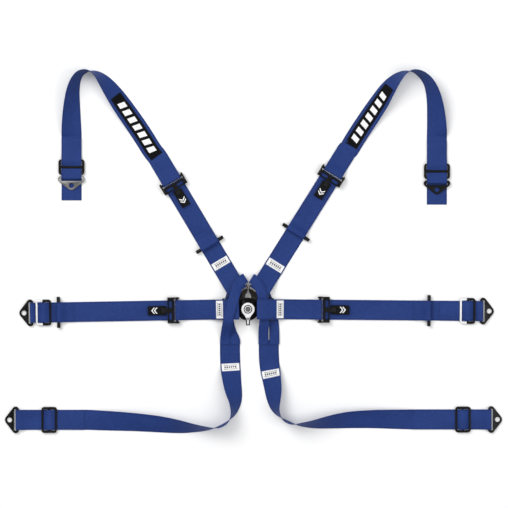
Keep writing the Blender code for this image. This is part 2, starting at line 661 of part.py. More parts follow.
def build():
    clear_scene()
    mats = {
        "blue": make_material("webbing_blue", (0.030, 0.062, 0.275), 0.75, 0.0),
        "steel": make_material("dark_steel", (0.045, 0.045, 0.05), 0.35, 0.9),
        "black": make_material("black_metal", (0.012, 0.012, 0.014), 0.35, 0.6),
        "silver": make_material("silver_metal", (0.62, 0.62, 0.63), 0.25, 1.0),
    }
    left_shoulder = Arm(0.0, 0.0, LEFT_SHOULDER_HEADING)
    right_shoulder = Arm(0.0, 0.0, RIGHT_SHOULDER_HEADING)
    left_lap = Arm(0.0, 0.0, LEFT_LAP_HEADING)
    right_lap = Arm(0.0, 0.0, RIGHT_LAP_HEADING)
    make_buckle(mats["steel"], mats["black"], mats["silver"],
                (left_shoulder, right_shoulder, left_lap, right_lap))

    # shoulder straps over the top: x, y and lean in degrees, from the straight run to the tail
    left_top = [(-240.0, 397.0, 0.0), (-271.0, 446.0, 3.0), (-300.0, 488.0, 11.0),
                (-321.0, 518.0, 22.0), (-341.0, 546.0, 37.0), (-360.0, 570.0, 54.0),
                (-380.0, 588.0, 74.0), (-400.0, 594.0, 92.0), (-419.0, 586.0, 106.0),
                (-430.0, 568.0, 116.0), (-436.0, 545.0, 126.0), (-439.0, 515.0, 138.0),
                (-440.5, 480.0, 152.0), (-441.0, 445.0, 168.0), (-441.0, 430.0, 180.0)]
    right_top = [(250.0, 397.0, 0.0), (281.0, 446.0, -3.0), (309.0, 488.0, -11.0),
                 (329.0, 518.0, -22.0), (347.0, 546.0, -37.0), (366.0, 570.0, -54.0),
                 (388.0, 588.0, -74.0), (410.0, 594.0, -92.0), (432.0, 585.0, -106.0),
                 (449.0, 567.0, -116.0), (459.0, 545.0, -126.0), (466.0, 515.0, -138.0),
                 (470.0, 480.0, -152.0), (472.0, 445.0, -168.0), (472.0, 430.0, -180.0)]
    make_shoulder("left_shoulder", left_shoulder, LEFT_SHOULDER_BASE, LEFT_SHOULDER_PULL,
                  left_top, Arm(-441.0, 700.0, -90.0), 345.5, mats)
    make_shoulder("right_shoulder", right_shoulder, RIGHT_SHOULDER_BASE, RIGHT_SHOULDER_PULL,
                  right_top, Arm(472.0, 700.0, -90.0), 356.0, mats)
    make_lap("left_lap", left_lap, LEFT_LAP_BASE, LEFT_LAP_PULL, 511.0, 29.0, -24.0, mats)
    make_lap("right_lap", right_lap, RIGHT_LAP_BASE, RIGHT_LAP_PULL, 548.5, 34.5,
             -70.0, mats)

    # crotch straps: flat under the buckle, standing on edge in the bend, flat again
    left_run = [(-45.0, -77.0, 0.0), (-45.0, -110.0, 0.0), (-44.0, -140.0, 0.0),
                (-41.0, -172.0, -20.0), (-36.5, -202.0, -33.0), (-33.0, -224.0, -47.0),
                (-33.5, -244.0, -62.0), (-38.5, -264.0, -78.0), (-52.0, -282.0, -92.0),
                (-72.0, -293.0, -92.0), (-98.0, -297.0, -78.0), (-135.0, -296.0, -62.0),
                (-172.0, -292.5, -46.0), (-222.0, -287.0, -32.0), (-285.0, -282.0, -22.0),
                (-350.0, -279.0, -10.0), (-400.0, -277.0, 0.0)]
    right_run = [(52.0, -77.0, 0.0), (52.0, -110.0, 0.0), (54.0, -140.0, 0.0),
                 (59.0, -172.0, 20.0), (63.0, -202.0, 33.0), (65.0, -224.0, 47.0),
                 (68.0, -244.0, 62.0), (76.0, -262.0, 78.0), (90.0, -276.0, 92.0),
                 (108.0, -284.0, 92.0), (130.0, -287.0, 78.0), (165.0, -286.0, 62.0),
                 (205.0, -281.0, 46.0), (250.0, -276.5, 32.0), (310.0, -274.5, 22.0),
                 (380.0, -275.5, 10.0), (430.0, -276.0, 0.0)]
    # loops: x, y, z and heading, round the shoulder strap's edge and back under both straps;
    # the left one passes over the lap strap, the right one through its fold
    left_band = [(-57.5, -88.0, BAND_LAYER, 90.0), (-57.3, -77.0, 3.4, 90.0),
                 (-55.5, -62.0, 9.0, 87.0), (-53.0, -46.0, 21.0, 82.0),
                 (-50.0, -32.0, 31.0, 79.0), (-47.0, -16.0, 33.0, 77.0),
                 (-43.0, 0.0, 33.2, 74.0), (-39.0, 14.0, 33.2, 71.0),
                 (-35.0, 28.0, 32.2, 68.0), (-31.0, 41.0, 28.5, 62.0),
                 (-27.0, 53.0, 24.0, 50.0), (-23.0, 63.0, 19.5, 38.0),
                 (-13.4, 73.6, 16.4, 31.0), (-6.6, 77.6, 10.0, 31.0), (-13.4, 73.6, 4.0, 31.0),
                 (-23.0, 67.5, 1.7, 34.0), (-31.0, 58.0, BAND_UNDER, 46.0),
                 (-38.0, 45.0, BAND_UNDER, 56.0), (-43.5, 30.0, BAND_UNDER, 64.0),
                 (-47.5, 10.0, BAND_UNDER, 76.0), (-49.0, -14.0, BAND_UNDER, 90.0),
                 (-47.0, -36.0, BAND_UNDER, 98.0), (-41.0, -58.0, 1.5, 104.0),
                 (-34.5, -72.0, 2.6, 98.0), (-32.0, -80.0, BAND_LAYER, 92.0),
                 (-32.0, -88.0, BAND_LAYER, 90.0)]
    right_band = [(38.5, -88.0, BAND_LAYER, 90.0), (38.5, -77.0, 3.4, 90.0),
                  (38.5, -62.0, 7.0, 90.0), (39.0, -48.0, 11.6, 89.0),
                  (40.2, -36.0, 14.8, 87.0), (41.4, -22.0, 15.3, 88.0),
                  (41.6, -8.0, 15.3, 90.0), (41.6, 4.0, 15.3, 93.0),
                  (40.0, 16.0, 15.6, 98.0), (37.4, 27.0, 17.6, 104.0),
                  (34.5, 38.0, 19.0, 110.0), (30.5, 50.0, 19.0, 120.0),
                  (24.5, 61.5, 18.6, 133.0),
                  (15.8, 72.6, 16.8, 148.0), (9.3, 76.6, 10.0, 148.0), (15.2, 73.0, 4.0, 148.0),
                  (22.0, 68.5, 1.7, 145.0), (30.5, 58.0, BAND_UNDER, 137.0),
                  (39.0, 42.0, BAND_UNDER, 128.0), (47.5, 26.0, BAND_UNDER, 119.0),
                  (54.5, 8.0, BAND_UNDER, 110.0), (60.5, -14.0, BAND_UNDER, 104.0),
                  (64.5, -36.0, BAND_UNDER, 98.0), (66.0, -58.0, 1.5, 92.0),
                  (66.0, -74.0, 2.6, 90.0), (66.0, -88.0, BAND_LAYER, 90.0)]
    make_leg("left_leg", left_run, Arm(0.0, -277.0, 180.0), 496.5, 79.5, -87.0, left_band, mats)
    make_leg("right_leg", right_run, Arm(0.0, -276.0, 0.0), 537.0, 66.5, -128.0, right_band, mats)


build()
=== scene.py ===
"""Looks of the six-point racing harness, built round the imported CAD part.

Lengths are in millimetres until a mesh is written; the frame is the CAD one.
"""
import math

import bmesh
import bpy
import numpy as np
from mathutils import Matrix, Vector


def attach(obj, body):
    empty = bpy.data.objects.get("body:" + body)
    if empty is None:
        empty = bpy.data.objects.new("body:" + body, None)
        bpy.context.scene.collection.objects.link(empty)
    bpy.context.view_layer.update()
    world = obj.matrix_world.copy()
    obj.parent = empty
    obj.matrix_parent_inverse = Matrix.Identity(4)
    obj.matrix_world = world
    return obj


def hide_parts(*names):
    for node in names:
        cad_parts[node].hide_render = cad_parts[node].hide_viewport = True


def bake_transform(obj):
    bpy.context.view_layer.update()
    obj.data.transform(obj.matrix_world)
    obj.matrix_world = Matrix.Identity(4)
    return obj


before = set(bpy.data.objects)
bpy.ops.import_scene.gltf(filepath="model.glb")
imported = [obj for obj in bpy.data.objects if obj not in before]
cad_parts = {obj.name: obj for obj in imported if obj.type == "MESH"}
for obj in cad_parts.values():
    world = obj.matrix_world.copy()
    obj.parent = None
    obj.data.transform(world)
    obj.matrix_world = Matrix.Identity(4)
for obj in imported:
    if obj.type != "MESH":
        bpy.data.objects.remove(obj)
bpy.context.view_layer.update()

MM = 0.001
ROOT = "buckle_and_crotch_straps"

# Webbing, as in the CAD part
WEB_WIDTH = 50.0
WEB_THICK = 1.2
LAYER_STEP = 1.5
LAYER_1 = 0.6
LAYER_2 = LAYER_1 + LAYER_STEP
LAYER_3 = LAYER_2 + LAYER_STEP
BAND_WIDTH = 25.0
BAND_THICK = 2.4
BAND_LAYER = 2.9
BAND_UNDER = 1.4
BEND_STEPS = 2

# Arms and fittings, as in the CAD part
LEFT_SHOULDER_HEADING = 120.8
RIGHT_SHOULDER_HEADING = 58.0
LEFT_SHOULDER_BASE = 353.0
RIGHT_SHOULDER_BASE = 381.0
LEFT_SHOULDER_PULL = 187.0
RIGHT_SHOULDER_PULL = 226.0
LEFT_LAP_HEADING = 181.0
RIGHT_LAP_HEADING = -0.5
LEFT_LAP_BASE = 197.0
RIGHT_LAP_BASE = 200.0
LEFT_LAP_PULL = 473.0
RIGHT_LAP_PULL = 452.0
LAP_RUN = 700.0
GRIP_BAR_AT = 9.0
GRIP_BAR_R = 3.5
GRIP_BAR_Z = 4.95
PIVOT_AT = 20.0
PIVOT_R = 3.0
PIVOT_Z = 7.6
TURN_LENGTH = 14.0
PULL_R = 4.5
PULL_LENGTH = 78.0
PULL_Z = LAYER_2 + WEB_THICK / 2 + 0.3 + PULL_R
BAR_Z = 4.9
FOLD_R = 4.25
SHOULDER_REACH = 26.0
SHOULDER_TAIL = 83.0
SHOULDER_SLIDES = {"left": 345.5, "right": 356.0}

# Finishing of the webbing
STATION_PITCH = 7.0        # longest gap between stations of a strap
DECAL_PITCH = 6.0          # longest step of a label, patch or stripe along a strap
THREAD_SINK = 0.05         # how far a stitch's middle lies under the surface
SEAM_HALF = 21.0           # half width of the sewn rectangles on full-width webbing
BAND_SEAM_HALF = 9.5       # the same on folded webbing
ADJUSTER_SEAM = 75.0       # adjuster's frame to the end of the sewn loop, shoulder belts
LAP_ADJUSTER_SEAM = 46.5   # the same on the lap belts
BLEND_START = 70.0         # where the webbing would begin to follow the tilting frame; a point is computed from it and left unused
BLEND_END = 16.0           # where it would follow wholly; likewise left unused
FREE_RUN = TURN_LENGTH + 8.0

# Black patch and its stripes on the shoulder straps
PATCH_HALF = 17.0
PATCH_SEAM_HALF = 15.6
STRIPE_COUNT = 7
STRIPE_GAP = 8.0
STRIPE_HALF = 9.5
STRIPE_SLANT = 5.0
STRIPE_MARGIN = 13.0
STRIPE_LIFT = 0.85

# Lift mark on the tabs, in the adjuster's own frame
CHEVRON_AT = -38.0
CHEVRON_PITCH = 6.4
CHEVRON_HALF = 7.6
CHEVRON_BOTTOM = 9.62
CHEVRON_TOP = 9.85
RIVET_AT = 32.4            # pivot rivets, out from the adjuster's centre line

# Colours, linear
BLUE = (0.0105, 0.0270, 0.1500)
BLUE_DEEP = (0.0050, 0.0125, 0.0820)
BLUE_LIGHT = (0.0220, 0.0600, 0.2500)


# ---------------------------------------------------------------- paths, as in the CAD part

class Arm:
    """A straight run on the surface: s along it, v across it to the left, z up."""

    def __init__(self, x, y, heading):
        angle = math.radians(heading)
        self.origin = Vector((x, y, 0.0))
        self.along = Vector((math.cos(angle), math.sin(angle), 0.0))
        self.across = Vector((-math.sin(angle), math.cos(angle), 0.0))

    def point(self, s, v, z):
        return self.origin + self.along * s + self.across * v + Vector((0.0, 0.0, z))

    def matrix(self, s=0.0, z=0.0):
        turn = Matrix((self.along, self.across, (0.0, 0.0, 1.0))).transposed().to_4x4()
        return Matrix.Translation(self.point(s, 0.0, z)) @ turn

    def reversed_from(self, run):
        back = Arm(0.0, 0.0, 0.0)
        back.origin = self.point(run, 0.0, 0.0)
        back.along, back.across = -self.along, -self.across
        return back


def smooth_path(points, per_span):
    """Centripetal Catmull-Rom curve through points of any dimension."""
    pts = [np.array(p, dtype=float) for p in points]
    pts = [2 * pts[0] - pts[1]] + pts + [2 * pts[-1] - pts[-2]]
    out = []
    for p0, p1, p2, p3 in zip(pts, pts[1:], pts[2:], pts[3:]):
        knots = [0.0]
        for a, b in ((p0, p1), (p1, p2), (p2, p3)):
            knots.append(knots[-1] + max(np.linalg.norm(b - a), 1e-6) ** 0.5)
        k0, k1, k2, k3 = knots
        for step in range(per_span):
            t = k1 + (k2 - k1) * step / per_span
            a1 = p0 * (k1 - t) / (k1 - k0) + p1 * (t - k0) / (k1 - k0)
            a2 = p1 * (k2 - t) / (k2 - k1) + p2 * (t - k1) / (k2 - k1)
            a3 = p2 * (k3 - t) / (k3 - k2) + p3 * (t - k2) / (k3 - k2)
            b1 = a1 * (k2 - t) / (k2 - k0) + a2 * (t - k0) / (k2 - k0)
            b2 = a2 * (k3 - t) / (k3 - k1) + a3 * (t - k1) / (k3 - k1)
            out.append(b1 * (k2 - t) / (k2 - k1) + b2 * (t - k1) / (k2 - k1))
    out.append(pts[-2])
    return out


def half_turn(s, z, radius, start, end, steps=6):
    angles = [math.radians(start + (end - start) * i / steps) for i in range(steps + 1)]
    return [(s + radius * math.cos(a), z + radius * math.sin(a)) for a in angles]


def plane_frames(arm, points, side=1.0):
    return [(arm.point(s, 0.0, z), arm.across * side) for s, z in points]


def rolled_frames(points):
    """Frames of webbing that leans: points (x, y, roll), positive roll lifts its left edge."""
    path = smooth_path(points, BEND_STEPS)
    frames = []
    for i, (x, y, roll) in enumerate(path):
        ahead = path[min(i + 1, len(path) - 1)]
        behind = path[max(i - 1, 0)]
        heading = Vector((ahead[0] - behind[0], ahead[1] - behind[1], 0.0)).normalized()
        left = Vector((-heading.y, heading.x, 0.0))
        angle = math.radians(roll)
        lift = 0.5 * (WEB_WIDTH * abs(math.sin(angle)) + WEB_THICK * abs(math.cos(angle)))
        side = left * math.cos(angle) + Vector((0.0, 0.0, math.sin(angle)))
        frames.append((Vector((x, y, lift)), side))
    return frames


def band_frames(points):
    """Frames of a band: points (x, y, z, heading in degrees), width kept level."""
    frames = []
    for x, y, z, heading in smooth_path(points, BEND_STEPS):
        angle = math.radians(heading)
        frames.append((Vector((x, y, z)), Vector((-math.sin(angle), math.cos(angle), 0.0))))
    return frames


def turn_path(base):
    bar_s = base + GRIP_BAR_AT
    radius = GRIP_BAR_R + 0.15 + WEB_THICK / 2
    near = base - TURN_LENGTH
    arc = half_turn(bar_s, GRIP_BAR_Z, radius, -90, 90, 8)
    return ([(near, LAYER_1), (base - 5.0, LAYER_1), (base + 3.0, LAYER_1)] + arc +
            [(base + 3.0, 8.2), (base - 4.0, 4.9), (base - 9.0, 2.8), (near, LAYER_2)])


def pivot_loop(base, tail):
    bar_s = base + PIVOT_AT
    radius = PIVOT_R + 0.25 + WEB_THICK / 2
    arc = half_turn(bar_s, PIVOT_Z, radius, 270, 90, 8)
    return ([(base + tail, LAYER_1), (base + 46.0, LAYER_1), (base + 36.0, 1.3),
             (base + 28.0, 3.2)] + arc +
            [(base + 29.0, 9.6), (base + 38.0, 5.4), (base + 47.0, 2.6), (base + 54.0, LAYER_2)])


def pull_fold(at):
    radius = PULL_R + 0.3 + WEB_THICK / 2
    arc = half_turn(at, PULL_Z, radius, 270, 90, 8)
    return [(at + 20.0, LAYER_2), (at + 6.0, LAYER_2)] + arc + [
        (at + 5.5, PULL_Z + 4.6), (at + 12.0, LAYER_3 + 4.2), (at + 20.0, LAYER_3 + 0.3),
        (at + 38.0, LAYER_3)]


def shoulder_fitting_path(at, base_z):
    """Flat under the slide, round the bracket's bar, then over both outer bars to the belt."""
    fold = half_turn(SHOULDER_REACH, BAR_Z, FOLD_R, -90, 90, 8)
    back = [(SHOULDER_REACH - 4.0, 7.9), (18.8, 6.3), (14.4, 6.2), (9.0, 4.4), (3.4, 2.5), (-3.4, 2.5),
            (-9.0, 4.4), (-14.4, 6.2), (-18.8, 6.3), (-22.5, 5.6), (-36.0, LAYER_2), (-70.0, LAYER_2)]
    local = [(-24.0, LAYER_1), (19.0, 0.7)] + fold + back
    return [(at + s, z + base_z) for s, z in local]


def weave(sign, lift):
    low = 1.0 + lift
    mid = 3.8 + lift
    top = 6.5 + lift
    points = [(-20.0, low - 0.3), (-14.4, low), (-9.0, mid), (-3.4, top), (3.4, top), (9.0, mid),
              (14.4, low), (19.0, low)]
    return points if sign > 0 else list(reversed(points))


def fitting_path(at, reach, base_z, lower_from, upper_to):
    """Out through the slide, round the bracket's bar and back, as (s, z) along the arm."""
    fold = half_turn(reach, BAR_Z, FOLD_R, -90, 90, 8)
    approach = [(reach - 7.0, 0.7)] if reach > 30 else []
    leave = [(reach - 7.0, 7.6), (reach - 13.0, 3.4)] if reach > 32 else [(reach - 4.0, 7.6)]
    if reach > 60:
        approach = [(30.0, LAYER_1), (reach - 15.0, LAYER_1)]
        leave = [(reach - 8.0, 7.9), (reach - 18.0, 3.4), (reach - 28.0, LAYER_2), (28.0, LAYER_2)]
    local = ([(lower_from, LAYER_1)] + weave(1, 0.0) + approach + fold + leave + weave(-1, 1.6) +
             [(upper_to, LAYER_2)])
    return [(at + s, z + base_z) for s, z in local]


def shoulder_tongue_fold(tail):
    return [(tail, LAYER_1), (102.0, LAYER_1), (90.0, 3.6), (75.0, 7.4), (63.0, 9.2), (54.0, 9.4),
            (51.0, 10.2), (50.4, 12.0), (51.0, 13.8), (54.0, 14.6), (63.0, 14.3), (75.0, 10.8),
            (90.0, 6.0), (104.0, LAYER_2)]


def lap_tongue_fold(tail):
    return [(tail, LAYER_1), (102.0, LAYER_1), (89.0, 3.8), (76.0, 7.0), (66.0, 9.0), (61.0, 9.1),
            (58.6, 10.6), (57.4, 14.6), (53.0, 19.6), (45.0, 23.2), (36.0, 25.4), (28.0, 26.8),
            (23.6, 27.6), (22.6, 28.9), (24.0, 30.2), (30.0, 29.8), (40.0, 27.4), (52.0, 22.4),
            (66.0, 15.8), (80.0, 9.2), (94.0, 3.6), (106.0, LAYER_2)]


class Strap:
    """Stations along a strip of webbing, closely spaced, with length a along it."""

    def __init__(self, frames):
        joined = [(*c, *s) for c, s in frames]
        path = smooth_path(joined, 3)
        fine = [path[0]]
        for p, q in zip(path, path[1:]):
            pieces = max(1, math.ceil(np.linalg.norm(q[:3] - p[:3]) / STATION_PITCH))
            fine += [p + (q - p) * k / pieces for k in range(1, pieces + 1)]
        centres = [Vector(p[:3]) for p in fine]
        self.stations = []
        self.length = 0.0
        for i, p in enumerate(fine):
            tangent = (centres[min(i + 1, len(fine) - 1)] - centres[max(i - 1, 0)]).normalized()
            side = Vector(p[3:])
            side = (side - tangent * side.dot(tangent)).normalized()
            if i:
                self.length += (centres[i] - centres[i - 1]).length
            self.stations.append((self.length, centres[i], side, tangent.cross(side)))

    def place(self, a, v, lift):
        """Point at length a, v across, and lift above the centre on the side that faces up."""
        a = min(max(a, 0.0), self.length - 1e-6)
        i = next(k for k, st in enumerate(self.stations) if st[0] >= a) or 1
        (a0, c0, s0, n0), (a1, c1, s1, n1) = self.stations[i - 1], self.stations[i]
        t = (a - a0) / max(a1 - a0, 1e-9)
        centre, side, normal = c0.lerp(c1, t), s0.lerp(s1, t).normalized(), n0.lerp(n1, t).normalized()
        up = 1.0 if normal.z > 0 else -1.0
        return centre + side * v + normal * (up * lift)

    def find(self, x, y):
        """Length at which the uppermost layer passes (x, y)."""
        spot = Vector((x, y))
        near = min((st[1].xy - spot).length for st in self.stations)
        close = [st for st in self.stations if (st[1].xy - spot).length < near + 4.0]
        return max(close, key=lambda st: st[1].z)[0]


# ---------------------------------------------------------------- materials

class Look:
    """A Principled material and a short way to add nodes to it."""

    def __init__(self, name, **sockets):
        self.mat = bpy.data.materials.new(name)
        self.mat.use_nodes = True
        self.tree = self.mat.node_tree
        self.shader = self.tree.nodes["Principled BSDF"]
        for key, value in sockets.items():
            self.shader.inputs[key.replace("_", " ")].default_value = value

    def node(self, kind, inputs=None, **props):
        node = self.tree.nodes.new(kind)
        for key, value in props.items():
            setattr(node, key, value)
        for key, value in (inputs or {}).items():
            if isinstance(value, bpy.types.NodeSocket):
                self.tree.links.new(value, node.inputs[key])
            else:
                node.inputs[key].default_value = value
        return node

    def math(self, operation, a, b=0.0):
        return self.node("ShaderNodeMath", {0: a, 1: b}, operation=operation).outputs[0]

    def noise(self, vector, scale, detail=3.0, roughness=0.5):
        inputs = {"Vector": vector, "Scale": scale, "Detail": detail, "Roughness": roughness}
        return self.node("ShaderNodeTexNoise", inputs).outputs["Fac"]

    def ramp(self, fac, low, high, colour_low=(0, 0, 0), colour_high=(1, 1, 1)):
        node = self.node("ShaderNodeValToRGB", {"Fac": fac})
        ends = node.color_ramp.elements
        ends[0].position, ends[1].position = low, high
        ends[0].color, ends[1].color = (*colour_low, 1.0), (*colour_high, 1.0)
        return node.outputs["Color"]

    def mix(self, fac, a, b, blend="MIX"):
        node = self.node("ShaderNodeMix", data_type="RGBA", blend_type=blend)
        for key, value in ((0, fac), (6, a), (7, b)):
            if isinstance(value, bpy.types.NodeSocket):
                self.tree.links.new(value, node.inputs[key])
            elif key == 0:
                node.inputs[key].default_value = value
            else:
                node.inputs[key].default_value = (*value, 1.0)
        return node.outputs[2]

    def scaled(self, factors):
        """Object-space coordinates, stretched."""
        coords = self.node("ShaderNodeTexCoord").outputs["Object"]
        return self.node("ShaderNodeMapping", {"Vector": coords, "Scale": factors}).outputs[0]

    def bump(self, height, distance, strength=1.0):
        inputs = {"Height": height, "Distance": distance, "Strength": strength}
        self.set("Normal", self.node("ShaderNodeBump", inputs).outputs[0])

    def set(self, socket, value):
        self.tree.links.new(value, self.shader.inputs[socket])


def webbing_look(name, base, deep, light, width=WEB_WIDTH):
    """Woven polyester: lengthwise ribs crossed by a fine chevron, with corded selvedges; shade is painted
    into the low places of the weave, the groove beside each selvedge and the hollows of the broad
    waviness.
    """
    look = Look(name, Roughness=0.62, Sheen_Weight=0.04, Sheen_Roughness=0.4)
    look.shader.inputs["Sheen Tint"].default_value = (0.35, 0.5, 1.0, 1.0)
    look.shader.inputs["Specular IOR Level"].default_value = 0.16
    uv = look.node("ShaderNodeUVMap", uv_map="UVMap").outputs[0]
    parts = look.node("ShaderNodeSeparateXYZ", {0: uv})
    u, v = parts.outputs[0], parts.outputs[1]
    rib = look.math("SINE", look.math("MULTIPLY", u, 2 * math.pi / 0.00165))
    zig = look.math("PINGPONG", u, 0.0033)
    wave = look.math("ADD", look.math("MULTIPLY", v, 2 * math.pi / 0.0021),
                     look.math("MULTIPLY", zig, 2 * math.pi / 0.0030))
    pick = look.math("SINE", wave)
    height = look.math("ADD", look.math("MULTIPLY", rib, 0.55), look.math("MULTIPLY", pick, 0.45))
    grain = look.noise(look.node("ShaderNodeMapping", {0: uv, 3: (900.0, 60.0, 1.0)}).outputs[0],
                       1.0, 4.0, 0.6)
    broad = look.noise(look.node("ShaderNodeMapping", {0: uv, 3: (18.0, 7.0, 1.0)}).outputs[0],
                       1.0, 2.0)
    slub = look.noise(look.node("ShaderNodeMapping", {0: uv, 3: (420.0, 150.0, 1.0)}).outputs[0],
                      1.0, 3.0, 0.7)
    from_edge = look.math("MINIMUM", u, look.math("SUBTRACT", width * MM, u))
    # painted shade: the groove beside each corded selvedge is drawn as a dark line
    groove = look.math("ABSOLUTE", look.math("SUBTRACT", from_edge, 0.0027))
    groove = look.ramp(look.math("MULTIPLY", groove, 1000.0), 0.25, 0.95)
    cord = look.ramp(look.math("MULTIPLY", from_edge, 1000.0), 1.2, 2.0, (1, 1, 1), (0, 0, 0))
    # painted shade: where the weave's relief is low the colour goes to the deep blue, as shade in the
    # hollows between ribs and picks
    colour = look.mix(look.ramp(height, -0.9, 0.6), deep, base)
    colour = look.mix(look.ramp(grain, 0.42, 0.78), colour, light)
    colour = look.mix(look.ramp(slub, 0.40, 0.72, (0, 0, 0), (0.55, 0.55, 0.55)), colour, light)
    colour = look.mix(look.ramp(slub, 0.30, 0.50, (0.6, 0.6, 0.6), (0, 0, 0)), colour, deep)
    colour = look.mix(look.math("MULTIPLY", cord, 0.45), colour, light)
    # painted shade in the selvedge groove
    colour = look.mix(groove, look.mix(0.55, colour, deep), colour)
    # painted shade: darker where the broad waviness, which also raises the bump, is low
    colour = look.mix(look.ramp(broad, 0.30, 0.75, (0.35, 0.35, 0.35), (0, 0, 0)), colour, deep)
    look.set("Base Color", colour)
    look.set("Roughness", look.math("ADD", 0.52, look.math("MULTIPLY", grain, 0.22)))
    relief = look.math("ADD", height, look.math("MULTIPLY", broad, 2.0))
    look.bump(look.math("MULTIPLY", relief, 0.5), 0.00022, 0.8)
    return look.mat


def metal_look(name, colour, wear_and_edge_highlight, roughness, metallic, brushed=(300.0, 300.0, 300.0),
               relief=0.00003, **sockets):
    """Painted or plated metal: fine surface texture, rub marks and paler edges; the pale edges are a
    painted highlight where bevels catch the light, partly edge wear.
    """
    look = Look(name, Metallic=metallic, **sockets)
    fine = look.noise(look.scaled(brushed), 1.0, 5.0, 0.6)
    marks = look.noise(look.scaled((60.0, 60.0, 60.0)), 1.0, 4.0, 0.65)
    # edges found by pointiness are painted in the pale colour: a painted highlight along edges that catch
    # the light, partly edge wear
    edge = look.node("ShaderNodeNewGeometry").outputs["Pointiness"]
    edge = look.ramp(look.math("ADD", edge, look.math("MULTIPLY", marks, 0.05)), 0.535, 0.60)
    rubbed = look.ramp(marks, 0.56, 0.80, (0, 0, 0), (0.5, 0.5, 0.5))
    colour = look.mix(look.ramp(fine, 0.25, 0.85), colour, tuple(c * 1.6 for c in colour))
    colour = look.mix(look.math("MULTIPLY", rubbed, 0.35), colour, wear_and_edge_highlight)
    colour = look.mix(look.math("MULTIPLY", edge, 0.8), colour, wear_and_edge_highlight)
    look.set("Base Color", colour)
    spread = look.math("MULTIPLY", fine, 0.14)
    rough = look.math("ADD", look.math("ADD", roughness - 0.07, spread),
                      look.math("MULTIPLY", rubbed, 0.12))
    look.set("Roughness", rough)
    look.bump(fine, relief)
    return look.mat


def cloth_label_look(name, colour, shade):
    """Close satin-woven label or patch."""
    look = Look(name, Roughness=0.7, Sheen_Weight=0.0, Specular_IOR_Level=0.08)
    where = look.scaled((1.0, 1.0, 1.0))
    parts = look.node("ShaderNodeSeparateXYZ", {0: where})
    across = look.math("SINE", look.math("MULTIPLY", parts.outputs[0], 2 * math.pi / 0.0008))
    along = look.math("SINE", look.math("MULTIPLY", parts.outputs[1], 2 * math.pi / 0.0008))
    grid = look.math("MULTIPLY", across, along)
    cloud = look.noise(look.scaled((140.0, 140.0, 140.0)), 1.0, 3.0)
    colour = look.mix(look.ramp(cloud, 0.3, 0.8), colour, shade)
    look.set("Base Color", look.mix(look.ramp(grid, 0.2, 0.9, (0, 0, 0), (0.3, 0.3, 0.3)), colour, shade))
    look.set("Roughness", look.math("ADD", 0.6, look.math("MULTIPLY", cloud, 0.25)))
    look.bump(grid, 0.00008)
    return look.mat


def rubber_look(name, colour, roughness):
    """Fine-grained moulded rubber."""
    look = Look(name, Specular_IOR_Level=0.08)
    pebble = look.noise(look.scaled((900.0, 900.0, 900.0)), 1.0, 2.0)
    cloud = look.noise(look.scaled((90.0, 90.0, 90.0)), 1.0, 3.0)
    look.set("Base Color", look.mix(look.ramp(cloud, 0.35, 0.8), colour, tuple(c * 2.2 for c in colour)))
    look.set("Roughness", look.math("ADD", roughness, look.math("MULTIPLY", cloud, 0.15)))
    look.bump(pebble, 0.00006)
    return look.mat


LOOKS = {
    "web": webbing_look("webbing_blue_woven", BLUE, BLUE_DEEP, BLUE_LIGHT),
    "band": webbing_look("webbing_blue_folded", BLUE, BLUE_DEEP, BLUE_LIGHT),
    "black": metal_look("black_gloss_metal", (0.002, 0.002, 0.0022), (0.022, 0.022, 0.023), 0.20,
                        0.0, Specular_IOR_Level=0.11),
    "steel": metal_look("dark_plated_steel", (0.030, 0.028, 0.026), (0.24, 0.23, 0.21), 0.30,
                        1.0, brushed=(900.0, 90.0, 400.0)),
    "tongue": metal_look("black_plated_steel", (0.006, 0.0055, 0.005), (0.07, 0.065, 0.055), 0.34,
                         0.9, brushed=(900.0, 90.0, 400.0)),
    "enamel": metal_look("black_enamel", (0.003, 0.003, 0.003), (0.04, 0.04, 0.04), 0.35, 0.0,
                         Specular_IOR_Level=0.12),
    "chrome": metal_look("polished_steel", (0.50, 0.50, 0.51), (0.80, 0.80, 0.81), 0.30,
                         1.0, brushed=(1200.0, 120.0, 500.0), relief=0.00001),
    "grey": metal_look("satin_zinc_steel", (0.095, 0.095, 0.095), (0.42, 0.42, 0.41), 0.38,
                       1.0, brushed=(200.0, 900.0, 400.0)),
    "rubber": rubber_look("black_tab_rubber", (0.003, 0.003, 0.0034), 0.45),
    "thread": cloth_label_look("sewing_thread_blue", (0.024, 0.055, 0.22), (0.010, 0.026, 0.11)),
    "label": cloth_label_look("label_white_satin", (0.93, 0.93, 0.93), (0.82, 0.82, 0.83)),
    "patch": cloth_label_look("patch_black_satin", (0.002, 0.002, 0.0024), (0.007, 0.007, 0.008)),
    "print": cloth_label_look("print_white_ink", (0.92, 0.92, 0.92), (0.80, 0.80, 0.81)),
    "ink": cloth_label_look("print_grey_ink", (0.030, 0.030, 0.034), (0.07, 0.07, 0.075)),
}


# ---------------------------------------------------------------- mesh helpers

def finish_mesh(name, bm, look, body, smooth=40.0):
    """Writes a bmesh in millimetres as a piece that rides on a body."""
    bm.normal_update()
    bmesh.ops.recalc_face_normals(bm, faces=bm.faces)
    bm.transform(Matrix.Scale(MM, 4))
    mesh = bpy.data.meshes.new(name)
    bm.to_mesh(mesh)
    bm.free()
    mesh.materials.append(LOOKS[look])
    obj = bpy.data.objects.new(name, mesh)
    bpy.context.scene.collection.objects.link(obj)
    mesh.shade_smooth()
    mesh.set_sharp_from_angle(angle=math.radians(smooth))
    if body:
        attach(obj, body)
    return obj


